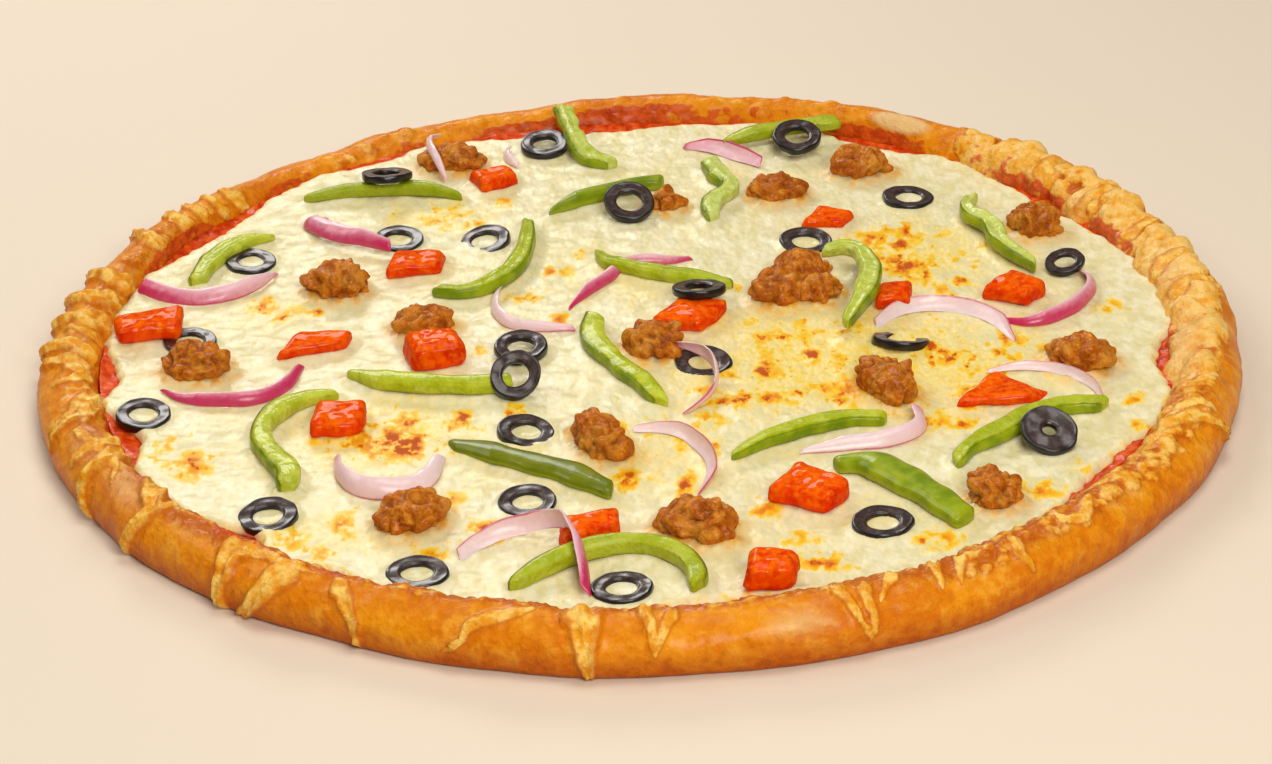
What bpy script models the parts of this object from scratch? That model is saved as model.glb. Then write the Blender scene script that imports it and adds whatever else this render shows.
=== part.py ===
"""A 14 inch pan pizza with cheese, peppers, tomato, sausage, red onion and sliced olives.

Metres, +Z up. The origin is the middle of the flat underside, and the layout lists
are in millimetres: +X to the right and +Y to the back.
"""

import math

import bmesh
import bpy
from mathutils import Matrix, Vector, noise
from mathutils.bvhtree import BVHTree

MM = 0.001
GAP = 0.0003  # air between pieces that touch
STACK_GAP = 0.0004  # air under a piece that lies on others
LOWERED_FROM = 0.05  # toppings start at this height and are lowered onto the cheese
SMOOTH_ANGLE = 40  # degrees, edges sharper than this stay sharp

PIZZA_RADIUS = 0.1755
BASE_RADIUS = 0.1730  # flat part of the underside
RECESS_RADIUS = 0.1575  # foot of the rim's inner wall
CREST_RADIUS = 0.1664
RIM_HEIGHT = 0.0150
DOUGH_THICKNESS = 0.0045
SAUCE_THICKNESS = 0.0014
SAUCE_EDGE_HEIGHT = 0.0090  # the sauce climbs the rim's inner wall
SAUCE_CLIMB_START = 0.147
SAUCE_CLIMB_LENGTH = 0.010
SAUCE_CLIMB_MIDDLE = 0.152
CHEESE_TOP = 0.0098
CHEESE_WAVE = 0.0004
CHEESE_WAVE_LENGTH = 0.028
CHEESE_PULL_START = 0.130  # from here out the sheet's edge may draw back
CHEESE_RISE_START = 0.140  # from here out the sheet thickens towards its edge
CHEESE_RISE_LENGTH = 0.016
CHEESE_RISE = 0.0005

CRUST_STEPS = 80
CHEESE_STEPS = 50
SAUCE_STEPS = 50
STRAND_SIDES = 5
OLIVE_STEPS = 12
OLIVE_SIDES = 5
LUMP_STEPS = 11  # round one sausage nugget
LOBE_STEPS = 9  # round each lobe of a nugget that has several
PEPPER_STEPS = 2
ONION_STEPS = 2

OLIVE_RADIUS = 0.0081
OLIVE_HOLE = 0.0042
OLIVE_HEIGHT = 0.0028

# Degrees round the rim, counted from +X: where the outline is full or slim, the crest high or low.
FULL_SIDE = 320
SLIM_SIDE = 240
HIGH_SIDE = 48
LOW_SIDE = 122
SLIM_HALF_WIDTH = 60
CREST_HALF_WIDTH = 40
FULL_RISE = 0.0011
SLIM_DIP = 0.0014
CREST_SWING = 0.0022

# Small waves: height, how many in a full turn, start in radians.
OUTLINE_RIPPLES = [(0.0005, 4, 0.6), (0.0004, 10, 0), (0.0003, 22, 0)]
CREST_RIPPLES = [(0.0004, 5, 1), (0.0005, 13, 0), (0.0003, 31, 0)]

# Degrees round the rim, counted from +X, where the cheese stops short and the sauce shows:
# middle, half width, how far the cheese draws back in mm.
BARE_EDGES = [
    (185, 8, 5), (200, 8, 6), (148, 14, 5), (226, 6, 5), (238, 5, 3), (277, 11, 3),
    (325, 13, 4), (352, 9, 5), (32, 19, 4), (60, 11, 4), (96, 22, 6), (122, 8, 3),
]

# Melted strands over the rim: degrees round it, width and how far down the side, in mm.
STRANDS = [
    (154, 6, 8), (149, 5, 6), (173, 7, 9), (180, 6, 8), (198, 5, 10), (205, 7, 12),
    (230, 6, 11), (235, 4, 9), (246, 4, 12), (265, 7, 12), (272, 4, 8), (289, 7, 8),
    (339, 8, 11), (130, 7, 5), (60, 9, 4), (20, 8, 6),
]

# Strips: points along the bottom of the strip as (x, y, rise), then width and height.
PEPPERS = [
    ([(-22, 155, 4), (-20, 144, 3.2), (-18, 133, 3), (-13, 123, 0), (-6, 119, 0)], 6, 4.5),
    ([(-104, 100, 0), (-92, 103, 0), (-79, 104, 0), (-65, 103, 0), (-54, 98, 0)], 5, 4.5),
    ([(-113, 73, 0), (-120, 69, 0), (-127, 61, 0), (-131, 51, 0), (-133, 41, 0)], 6.5, 4),
    ([(-60, 30, 0), (-52, 28, 0), (-43, 34, 0), (-36, 46, 0), (-33, 62, 0), (-33, 78, 0)], 6, 4.5),
    ([(-26, 85, 0), (-18, 91, 0), (-9, 96, 0), (2, 101, 0), (10, 103, 0)], 5, 4.5),
    ([(31, 130, 0), (41, 135, 0), (53, 139, 0), (68, 142, 0)], 6, 4.5),
    ([(25, 119, 0), (27, 109, 0), (31, 97, 0), (25, 87, 0), (25, 76, 0)], 6.5, 4.5),
    ([(-11, 55, 0), (-8, 46, 0), (-1, 41, 0), (9, 36, 0), (19, 32, 0), (28, 27, 0)], 5.5, 4.5),
    ([(57, 39, 0), (65, 40, 0), (70, 29, 0), (69, 13, 0), (61, -10, 0)], 6.5, 5),
    ([(106, 82, 0), (104, 70, 0), (110, 60, 0), (112, 48, 0), (121, 31, 0)], 6, 4.5),
    ([(-84, -22, 0), (-74, -28, 0), (-63, -31, 0), (-52, -33, 0), (-36, -33, 0)], 7, 4.5),
    ([(-12, 9, 0), (-13, -4, 0), (-10, -14, 0), (-4, -26, 0), (2, -36, 0), (6, -46, 0)], 7, 4.5),
    ([(-86, -35, 0), (-96, -39, 0), (-104, -49, 0), (-106, -61, 0), (-102, -73, 0),
      (-97, -83, 0), (-97, -90, 0)], 6.5, 5),
    ([(-53, -67, 0), (-43, -72, 0), (-32, -79, 0), (-20, -86, 0), (-8, -97, 0)], 8.5, 3.5),
    ([(25, -79, 0), (34, -72, 0), (46, -65, 0), (57, -61, 0), (69, -61, 0)], 6, 4.5),
    ([(86, -87, 0), (91, -79, 0), (100, -71, 0), (111, -61, 0), (121, -57, 0), (131, -57, 0)], 7, 4.5),
    ([(53, -87, 0), (62, -88, 0), (70, -96, 0), (78, -107, 0), (86, -120, 0)], 10, 5),
    ([(-34, -147, 0), (-29, -141, 0), (-21, -134, 0), (-12, -129, 0), (-2, -128, 0),
      (7, -132, 0), (13, -141, 0), (14, -150, 0)], 6, 5.5),
]

# Dice: x, y, length, width, height, turn in degrees, pull of the narrow end from 0 to 1.
TOMATOES = [
    (-44, 110, 16, 12, 4.5, -12, 0.1),
    (-67, 49, 17, 12, 4.5, 4, 0.1),
    (-144, 10, 20, 14, 6, 12, 0.2),
    (-94, -3, 20, 12, 4, 10, 0.4),
    (-59, -13, 17, 14, 8, 8, 0.1),
    (-85, -52, 16, 12, 5, 4, 0.1),
    (16, 8, 17, 12, 4.5, -6, 0.15),
    (61, 73, 15, 10, 3.5, -8, 0.3),
    (77, 16, 11, 11, 5, 4, 0.1),
    (115, 18, 18, 14, 6, -10, 0.25),
    (105, -46, 21, 14, 3.5, -4, 0.7),
    (46, -101, 20, 14, 6, -28, 0.35),
    (-14, -119, 18, 12, 5, 2, 0.45),
    (33, -146, 14, 11, 8, -8, 0.15),
]

# Crumbled nuggets: x, y, length, width, height, turn in degrees. Lobes of one nugget share a row.
SAUSAGES = [
    [(-58, 126, 22, 15, 7, 0)],
    [(-90, 36, 22, 17, 9, -10)],
    [(-128, -15, 21, 17, 8, -5)],
    [(-63, 8, 20, 12, 7, 5)],
    [(11, 88, 12, 11, 6, 0)],
    [(46, 96, 19, 14, 7, 0)],
    [(73, 112, 19, 16, 8, 20)],
    [(5, -9, 18, 18, 8, 60)],
    [(50, 32, 19, 19, 10, 0), (43, 23, 18, 16, 8, 20), (55, 22, 15, 15, 7.5, 0)],
    [(124, 63, 18, 15, 8, -20)],
    [(71, -40, 24, 16, 9, -65)],
    [(128, -26, 20, 17, 8, -15)],
    [(-11, -68, 25, 14, 9, -72)],
    [(-62, -108, 20, 17, 9, 35)],
    [(15, -117, 21, 16, 9, -10)],
    [(95, -105, 18, 15, 8, -80)],
]

# Olive rings in the cheese, fused to it: x, y, tilt to the front and to the side in degrees.
SUNK_OLIVES = [
    (-73, 70, 4, 0), (-118, 57, 0, 3), (-46, 67, 8, -8), (87, 89, 0, 4), (53, 59, 6, 0),
    (-132, 4, 0, 0), (-141, -42, 4, 3), (-101, -103, 7, -3), (-59.5, -136.5, 4, 0), (19, -20, 8, 0),
    (-32, -59, 6, 5), (-31, -99, 5, 0), (-6, -147, 0, 0), (64, -117, 3, 0), (77, -10, -16, 6),
]

# Olive rings that lie free: x, y, tilt to the front and to the side in degrees.
LOW_OLIVES = [(-28, 136, 6, 0), (-34, -10, 6, 4), (130, 34, 12, -6)]
HIGH_OLIVES = [
    (-78, 107, -14, 0), (-1, 84, 22, 4), (54, 129, 13, 0), (-35, -34, 38, 0),
    (19, 19, -12, 0), (113, -75, 24, 6),
]

# Onion slices fused to the cheese: points (x, y), then width and height.
ONIONS = [
    ([(-63, 143), (-66, 134), (-65, 124), (-60, 112)], 4, 2),
    ([(-33, 127), (-34, 135), (-31, 142)], 4, 1.8),
    ([(17, 134), (24, 131), (32, 125), (41, 118)], 4.5, 2),
    ([(-103, 87), (-100, 80), (-93, 70), (-84, 65), (-76, 62)], 5, 2.6),
    ([(-149, 36), (-138, 31), (-126, 31), (-116, 38), (-109, 50)], 6, 2.2),
    ([(-20, 18), (-15, 26), (-6, 38), (-1, 45), (9, 47), (18, 50)], 4, 2),
    ([(-40, 37), (-43, 26), (-41, 12), (-36, 6), (-27, 4), (-18, 4)], 4, 1.8),
    ([(-138, -26), (-131, -34), (-120, -37), (-109, -36), (-101, -29), (-97, -14)], 4.5, 2.4),
    ([(-85, -74), (-82, -86), (-76, -94), (-66, -94), (-58, -89), (-54, -75)], 4.5, 2.2),
    ([(13, -14), (19, -21), (21, -31), (20, -41), (15, -48)], 3.5, 2.6),
    ([(1, -59), (9, -62), (15, -71), (17, -83), (15, -95)], 4, 2),
    ([(44, -76), (58, -75), (70, -73), (79, -66), (79, -56)], 4.5, 2),
    ([(73, 0), (83, 9), (93, 8), (100, 3), (109, -12)], 4, 1.8),
    ([(109, 0), (117, -2), (127, 3), (135, 13), (137, 24), (134, 35)], 4, 2.2),
    ([(100, -31), (112, -30), (121, -33), (128, -41), (131, -51)], 3, 1.6),
    ([(-46, -129), (-41, -122), (-32, -118), (-24, -120), (-19, -128), (-16, -138), (-15, -150)],
     4, 2.6),
]
OLIVE_RISE = 0.0002  # the middle of a sunk olive over the cheese
OLIVE_CLEARANCE = 0.0012
OLIVE_MOVES = 20
ONION_SINK = 0.0010
ONION_CLEARANCE = 0.0014
ONION_CHECKS = 4  # places looked at between two points of a slice
SHORTEST_ONION = 0.009
ONION_STATION = 0.013  # between the points that a slice follows

STRAND_HEIGHT = 0.0026
STRAND_SINK = 0.00085
STRAND_ENDS = 0.7  # size of a strand's end sections
DOUGH_CORE_HEIGHT = 0.0065  # the strands are sunk towards this height under the crest

# Sections of the strips, as shares of the width and the height.
PEPPER_SECTION = [(-0.5, 0.15), (-0.3, 0), (0.3, 0), (0.5, 0.15), (0.42, 0.8), (0, 1), (-0.42, 0.8)]
ONION_SECTION = [(-0.5, 0), (0.5, 0), (0.32, 0.8), (0, 1), (-0.32, 0.8)]
PEPPER_ENDS = 0.6  # size of the end sections
ONION_ENDS = 0.5

DICE_SLANT = 0.16  # how far noise pushes a corner of a diced piece
DICE_SLANT_SCALE = 3
DICE_TAPER = 0.12  # its top is this much smaller than its foot
DICE_BEVEL = 0.22  # of its shorter side

LUMP_SUNK = 0.28  # the share of a lump cut off flat below
COARSE_LUMP, COARSE_LUMP_SCALE = 0.20, 4.2
FINE_LUMP, FINE_LUMP_SCALE = 0.12, 9

CRUST_COLOUR = (0.78, 0.36, 0.07, 1)
SAUCE_COLOUR = (0.62, 0.07, 0.02, 1)
CHEESE_COLOUR = (0.88, 0.80, 0.52, 1)
PEPPER_COLOUR = (0.27, 0.42, 0.02, 1)
TOMATO_COLOUR = (0.80, 0.08, 0.01, 1)
SAUSAGE_COLOUR = (0.40, 0.15, 0.03, 1)
OLIVE_COLOUR = (0.02, 0.015, 0.015, 1)


def clear_scene():
    for obj in list(bpy.data.objects):
        bpy.data.objects.remove(obj, do_unlink=True)


def new_collection(name):
    collection = bpy.data.collections.new(name)
    bpy.context.scene.collection.children.link(collection)
    return collection


def new_material(name, colour, roughness):
    material = bpy.data.materials.new(name)
    material.use_nodes = True
    shader = material.node_tree.nodes["Principled BSDF"]
    shader.inputs["Base Color"].default_value = colour
    shader.inputs["Roughness"].default_value = roughness
    shader.inputs["Metallic"].default_value = 0
    return material


def new_object(name, mesh, collection, colour, roughness):
    obj = bpy.data.objects.new(name, mesh)
    collection.objects.link(obj)
    mesh.materials.clear()
    mesh.materials.append(new_material(name, colour, roughness))
    mesh.shade_smooth()
    mesh.set_sharp_from_angle(angle=math.radians(SMOOTH_ANGLE))
    return obj


def evaluated_mesh(obj):
    """The mesh that obj's modifiers or bevel give, welded, with its faces pointing out."""
    bpy.context.view_layer.update()
    graph = bpy.context.evaluated_depsgraph_get()
    mesh = bpy.data.meshes.new_from_object(obj.evaluated_get(graph))
    work = bmesh.new()
    work.from_mesh(mesh)
    bmesh.ops.remove_doubles(work, verts=work.verts, dist=1e-6)
    bmesh.ops.recalc_face_normals(work, faces=work.faces)
    work.to_mesh(mesh)
    work.free()
    bpy.data.objects.remove(obj, do_unlink=True)
    return mesh


def turned_mesh(profile, steps):
    """The profile, a list of (radius, height) from the top centre round to the bottom centre,
    turned once round Z."""
    mesh = bpy.data.meshes.new("profile")
    work = bmesh.new()
    points = [work.verts.new((radius, 0, height)) for radius, height in profile]
    for start, end in zip(points, points[1:]):
        work.edges.new((start, end))
    work.to_mesh(mesh)
    work.free()
    obj = bpy.data.objects.new("profile", mesh)
    bpy.context.scene.collection.objects.link(obj)
    screw = obj.modifiers.new("Turn", "SCREW")
    screw.axis = "Z"
    screw.steps = screw.render_steps = steps
    screw.use_merge_vertices = True
    screw.merge_threshold = 0.0001
    return evaluated_mesh(obj)


def angle_of(point):
    return math.degrees(math.atan2(point.y, point.x)) % 360


def bare_edge(angle):
    """How far the cheese draws back from the rim at this angle."""
    return max(depth * MM * hump(angle, middle, half) for middle, half, depth in BARE_EDGES)


def hump(angle, middle, half_width):
    """1 at the middle angle, falling smoothly to 0 at half_width either side."""
    away = abs((angle - middle + 180) % 360 - 180) / half_width
    return max(0, 1 - away * away) ** 2


def ripples(angle, waves):
    turn = math.radians(angle)
    return sum(height * math.sin(count * turn + start) for height, count, start in waves)


def outline_wave(angle):
    """The uneven outline: fullest at the front right, and small waves all round."""
    swell = FULL_RISE * math.cos(math.radians(angle - FULL_SIDE))
    dip = SLIM_DIP * hump(angle, SLIM_SIDE, SLIM_HALF_WIDTH)
    return swell - dip + ripples(angle, OUTLINE_RIPPLES)


def rim_wave(angle):
    """How much the rim's crest rises or dips."""
    rise = hump(angle, HIGH_SIDE, CREST_HALF_WIDTH) - hump(angle, LOW_SIDE, CREST_HALF_WIDTH)
    return CREST_SWING * rise + ripples(angle, CREST_RIPPLES)


def sauce_top(radius):
    """The sauce lies level, then climbs on its last stretch before the rim."""
    climb = max(0, (radius - SAUCE_CLIMB_START) / SAUCE_CLIMB_LENGTH)
    level = DOUGH_THICKNESS + GAP + SAUCE_THICKNESS
    return level + (SAUCE_EDGE_HEIGHT - level) * min(1, climb) ** 1.5


def cheese_height(x, y):
    wave = noise.noise(Vector((x, y, 0)) / CHEESE_WAVE_LENGTH)
    edge = max(0, (math.hypot(x, y) - CHEESE_RISE_START) / CHEESE_RISE_LENGTH)
    return CHEESE_TOP + CHEESE_WAVE * wave + CHEESE_RISE * edge


def rim_profile():
    """Half of the dough's section, from the middle of the recess out, over the rim and back."""
    floor = DOUGH_THICKNESS
    return [
        (0, floor), (RECESS_RADIUS, floor),
        (RECESS_RADIUS + 0.0004, 0.0085), (0.1600, 0.0122), (0.1632, RIM_HEIGHT - 0.0006),
        (CREST_RADIUS, RIM_HEIGHT), (0.1703, 0.0137), (0.1738, 0.0108), (PIZZA_RADIUS, 0.0070),
        (PIZZA_RADIUS - 0.0003, 0.0026), (0.1742, 0.0005), (BASE_RADIUS, 0), (0, 0),
    ]


def make_dough():
    """The base and the raised rim, a little uneven all round."""
    mesh = turned_mesh(rim_profile(), CRUST_STEPS)
    for vertex in mesh.vertices:
        point = vertex.co
        radius = math.hypot(point.x, point.y)
        if radius < RECESS_RADIUS + 0.0001 and point.z > 0:
            continue
        angle = angle_of(point)
        share = min(1, max(0, (radius - RECESS_RADIUS) / (CREST_RADIUS - RECESS_RADIUS)))
        scale = 1 + share * outline_wave(angle) / PIZZA_RADIUS
        point.x *= scale
        point.y *= scale
        if point.z > 0:
            point.z += rim_wave(angle) * point.z / RIM_HEIGHT
    return mesh


def make_sauce():
    edge = RECESS_RADIUS - GAP
    low = DOUGH_THICKNESS + GAP
    radii = [0, SAUCE_CLIMB_START, SAUCE_CLIMB_MIDDLE, edge]
    profile = [(radius, sauce_top(radius)) for radius in radii]
    return turned_mesh(profile + [(edge, low), (0, low)], SAUCE_STEPS)


def make_cheese():
    """The melted sheet: an uneven edge, a wavy top, and a bottom that follows the sauce."""
    edge = RECESS_RADIUS - 2 * GAP
    top = [(radius, 1) for radius in (0, 0.025, 0.050, 0.075, 0.098, 0.118, 0.136, 0.150, edge)]
    bottom = [(radius, 0) for radius in (edge, SAUCE_CLIMB_MIDDLE, SAUCE_CLIMB_START, 0)]
    mesh = turned_mesh(top + bottom, CHEESE_STEPS)
    for vertex in mesh.vertices:
        point = vertex.co
        radius = math.hypot(point.x, point.y)
        if radius > CHEESE_PULL_START:
            share = (radius - CHEESE_PULL_START) / (edge - CHEESE_PULL_START)
            pull = 1 - share * bare_edge(angle_of(point)) / radius
            point.x *= pull
            point.y *= pull
        radius = math.hypot(point.x, point.y)
        if point.z > 0.5:
            point.z = cheese_height(point.x, point.y)
        else:
            point.z = sauce_top(radius) + GAP
    return mesh


def swept_mesh(points, width, height, sides, ends, steps):
    """A strip along points (x, y, z in metres) on its underside, with a rounded upright section.
    ends is the size of its two end sections, from 0 to 1, and steps the stretches between points."""
    section = bpy.data.curves.new("section", "CURVE")
    section.dimensions = "2D"
    outline = section.splines.new("POLY")
    outline.use_cyclic_u = True
    outline.points.add(len(sides) - 1)
    for place, (across, up) in zip(outline.points, sides):
        place.co = (across * width, up * height, 0, 1)
    section_object = bpy.data.objects.new("section", section)
    bpy.context.scene.collection.objects.link(section_object)

    path = bpy.data.curves.new("path", "CURVE")
    path.dimensions = "3D"
    path.resolution_u = steps
    path.twist_mode = "Z_UP"
    path.bevel_mode = "OBJECT"
    path.bevel_object = section_object
    path.use_fill_caps = True
    spline = path.splines.new("BEZIER")
    spline.bezier_points.add(len(points) - 1)
    for index, (place, point) in enumerate(zip(spline.bezier_points, points)):
        place.co = point
        place.handle_left_type = place.handle_right_type = "AUTO"
        place.radius = ends if index in (0, len(points) - 1) else 1
    path_object = bpy.data.objects.new("path", path)
    bpy.context.scene.collection.objects.link(path_object)
    mesh = evaluated_mesh(path_object)
    bpy.data.objects.remove(section_object, do_unlink=True)
    return mesh


def make_pepper(points, width, height):
    places = [Vector(point) * MM for point in points]
    return swept_mesh(places, width * MM, height * MM, PEPPER_SECTION, PEPPER_ENDS, PEPPER_STEPS)


def make_tomato(length, width, height, turn, pull, seed):
    """A diced piece with soft edges, one end narrower than the other."""
    work = bmesh.new()
    bmesh.ops.create_cube(work, size=1)
    for vertex in work.verts:
        narrow = 1 - pull * (vertex.co.x + 0.5)
        lean = noise.noise(vertex.co * DICE_SLANT_SCALE + Vector((seed, 0, 0))) * DICE_SLANT
        vertex.co.y = vertex.co.y * narrow + lean
        vertex.co.x += lean * 0.7
        vertex.co.x *= 1 - DICE_TAPER * (vertex.co.z + 0.5)
        vertex.co.y *= 1 - DICE_TAPER * (vertex.co.z + 0.5)
        vertex.co.z = (vertex.co.z + 0.5) * (1 + lean * (vertex.co.z > 0))
    bmesh.ops.scale(work, vec=Vector((length, width, height)) * MM, verts=work.verts)
    bevel = min(width, height) * DICE_BEVEL * MM
    bmesh.ops.bevel(work, geom=work.edges[:], offset=bevel, segments=1, affect="EDGES")
    bmesh.ops.rotate(work, verts=work.verts, matrix=Matrix.Rotation(math.radians(turn), 3, "Z"))
    mesh = bpy.data.meshes.new("dice")
    work.to_mesh(mesh)
    work.free()
    return mesh


def add_lobe(work, lobe, centre, seed, steps):
    x, y, length, width, height, turn = lobe
    made = bmesh.ops.create_uvsphere(work, u_segments=steps, v_segments=steps * 2 // 3, radius=0.5)
    spin = Matrix.Rotation(math.radians(turn), 3, "Z")
    for vertex in made["verts"]:
        coarse = noise.noise(vertex.co * COARSE_LUMP_SCALE + Vector((seed, seed * 0.7, 0)))
        fine = noise.noise(vertex.co * FINE_LUMP_SCALE + Vector((0, seed, 0)))
        point = vertex.co * (1 + COARSE_LUMP * coarse + FINE_LUMP * fine)
        point.z = max(0, point.z + 0.5 - LUMP_SUNK) / (1 - LUMP_SUNK)
        point = Vector((point.x * length, point.y * width, point.z * height)) * MM
        vertex.co = spin @ point + (Vector((x, y, 0)) - centre) * MM


def make_sausage(lobes, seed):
    """A crumbled nugget: rough lumps, flat where they lie in the cheese, joined to one."""
    centre = Vector((lobes[0][0], lobes[0][1], 0))
    steps = LUMP_STEPS if len(lobes) == 1 else LOBE_STEPS
    objects = []
    for number, lobe in enumerate(lobes):
        mesh = bpy.data.meshes.new("lump")
        work = bmesh.new()
        add_lobe(work, lobe, centre, seed + number * 3.3, steps)
        work.to_mesh(mesh)
        work.free()
        obj = bpy.data.objects.new("lump", mesh)
        bpy.context.scene.collection.objects.link(obj)
        objects.append(obj)
    for index, other in enumerate(objects[1:]):
        join = objects[0].modifiers.new(f"Lobe {index}", "BOOLEAN")
        join.operation = "UNION"
        join.object = other
    mesh = evaluated_mesh(objects[0])
    for other in objects[1:]:
        bpy.data.objects.remove(other, do_unlink=True)
    return mesh


def make_olive(front_tilt, side_tilt):
    """A sliced olive: a ring with rounded edges."""
    middle = (OLIVE_RADIUS + OLIVE_HOLE) / 2
    bpy.ops.mesh.primitive_torus_add(
        major_radius=middle,
        minor_radius=OLIVE_RADIUS - middle,
        major_segments=OLIVE_STEPS,
        minor_segments=OLIVE_SIDES,
    )
    obj = bpy.context.object
    mesh = obj.data
    thin = Matrix.Scale(OLIVE_HEIGHT / (2 * (OLIVE_RADIUS - middle)), 4, (0, 0, 1))
    lean = Matrix.Rotation(math.radians(front_tilt), 4, "X")
    roll = Matrix.Rotation(math.radians(side_tilt), 4, "Y")
    mesh.transform(lean @ roll @ thin)
    bpy.data.objects.remove(obj, do_unlink=True)
    return mesh


def samples_of(mesh):
    """Corners, edge middles and face centres."""
    corners = [vertex.co.copy() for vertex in mesh.vertices]
    middles = [(corners[edge.vertices[0]] + corners[edge.vertices[1]]) / 2 for edge in mesh.edges]
    return corners + middles + [polygon.center.copy() for polygon in mesh.polygons]


def tree_of(mesh):
    corners = [vertex.co.copy() for vertex in mesh.vertices]
    return BVHTree.FromPolygons(corners, [list(polygon.vertices) for polygon in mesh.polygons])


class Beneath:
    """What a topping can come to rest on."""

    def __init__(self):
        self.layers = []

    def add(self, mesh):
        self.layers.append((tree_of(mesh), samples_of(mesh)))

    def lower(self, mesh, place):
        """Move mesh to place, then down until it is STACK_GAP clear of what is under it."""
        mesh.transform(Matrix.Translation((place[0] * MM, place[1] * MM, LOWERED_FROM)))
        own_tree = tree_of(mesh)
        own_samples = samples_of(mesh)
        low = Vector((min(p.x for p in own_samples), min(p.y for p in own_samples), 0))
        high = Vector((max(p.x for p in own_samples), max(p.y for p in own_samples), 0))
        down, up = Vector((0, 0, -1)), Vector((0, 0, 1))
        drop = LOWERED_FROM
        for tree, samples in self.layers:
            for point in own_samples:
                hit = tree.ray_cast(point, down)
                if hit[0] is not None:
                    drop = min(drop, hit[3])
            for point in samples:
                if low.x <= point.x <= high.x and low.y <= point.y <= high.y:
                    hit = own_tree.ray_cast(Vector((point.x, point.y, 0)), up)
                    if hit[0] is not None:
                        drop = min(drop, hit[0].z - point.z)
        mesh.transform(Matrix.Translation((0, 0, STACK_GAP - drop)))
        self.add(mesh)

    def nearest(self, point):
        """The nearest point of any layer, and how far it is."""
        found = [tree.find_nearest(point) for tree, samples in self.layers]
        closest = min(found, key=lambda hit: hit[3])
        return closest[0], closest[3]


def clear_place(x, y, toppings):
    """The place on the cheese nearest to (x, y) where a sunk olive is clear of the toppings."""
    place = Vector((x * MM, y * MM, cheese_height(x * MM, y * MM) + MM))
    needed = OLIVE_RADIUS + OLIVE_CLEARANCE
    for _ in range(OLIVE_MOVES):
        point, distance = toppings.nearest(place)
        if distance >= needed:
            break
        away = place - point
        away.z = 0
        place += away.normalized() * (needed - distance + OLIVE_CLEARANCE / 4)
    return place


def clear_runs(points, width, toppings):
    """The stretches of an onion slice that lie clear of the toppings."""
    needed = width * MM / 2 + ONION_CLEARANCE
    dense = []
    for start, end in zip(points, points[1:]):
        for step in range(ONION_CHECKS):
            dense.append(Vector(start).lerp(Vector(end), step / ONION_CHECKS) * MM)
    dense.append(Vector(points[-1]) * MM)
    runs, current = [], []
    for point in dense:
        place = Vector((point.x, point.y, cheese_height(point.x, point.y) + MM))
        if toppings.nearest(place)[1] > needed:
            current.append(place)
        else:
            runs.append(current)
            current = []
    runs.append(current)
    long_enough = []
    for run in runs:
        length = sum((end - start).length for start, end in zip(run, run[1:]))
        if length >= SHORTEST_ONION:
            count = max(2, round(length / ONION_STATION))
            long_enough.append([run[round(i * (len(run) - 1) / count)] for i in range(count + 1)])
    return long_enough


def fuse(base, name, meshes):
    """Join the meshes to base in one Boolean union and take the result as base's mesh."""
    extras = bpy.data.collections.new(name)
    bpy.context.scene.collection.children.link(extras)
    for mesh in meshes:
        extras.objects.link(bpy.data.objects.new(name, mesh))
    join = base.modifiers.new("Join", "BOOLEAN")
    join.operation = "UNION"
    join.operand_type = "COLLECTION"
    join.solver = "MANIFOLD"
    join.collection = extras
    bpy.context.view_layer.update()
    graph = bpy.context.evaluated_depsgraph_get()
    mesh = bpy.data.meshes.new_from_object(base.evaluated_get(graph))
    base.modifiers.clear()
    base.data = mesh
    for obj in list(extras.objects):
        bpy.data.objects.remove(obj, do_unlink=True)
    bpy.data.collections.remove(extras)


def strand_mesh(angle, width, reach):
    """Melted cheese across the rim, from its inner wall to reach down the outer side."""
    turn = math.radians(angle)
    wave = 1 + outline_wave(angle) / PIZZA_RADIUS
    rise = rim_wave(angle)
    lowest = RIM_HEIGHT - reach * MM
    over_rim = [(0.1603, 0.0124), (0.1633, 0.0145), (CREST_RADIUS, RIM_HEIGHT), (0.1703, 0.0137),
                (0.1738, 0.0108), (PIZZA_RADIUS, 0.0070), (PIZZA_RADIUS - 0.0003, 0.0036)]
    kept = [over_rim[0]] + [place for place in over_rim[1:] if place[1] > lowest]
    points = []
    for radius, height in kept:
        lifted = height + rise * height / RIM_HEIGHT
        place = Vector((radius * wave * math.cos(turn), radius * wave * math.sin(turn), lifted))
        core = Vector((CREST_RADIUS * math.cos(turn), CREST_RADIUS * math.sin(turn), DOUGH_CORE_HEIGHT))
        points.append(place + (core - place).normalized() * STRAND_SINK)
    sides = [
        (0.5 * math.cos(math.tau * i / STRAND_SIDES), 0.5 * math.sin(math.tau * i / STRAND_SIDES))
        for i in range(STRAND_SIDES)
    ]
    return swept_mesh(points, width * MM, STRAND_HEIGHT, sides, STRAND_ENDS, 1)


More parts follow.
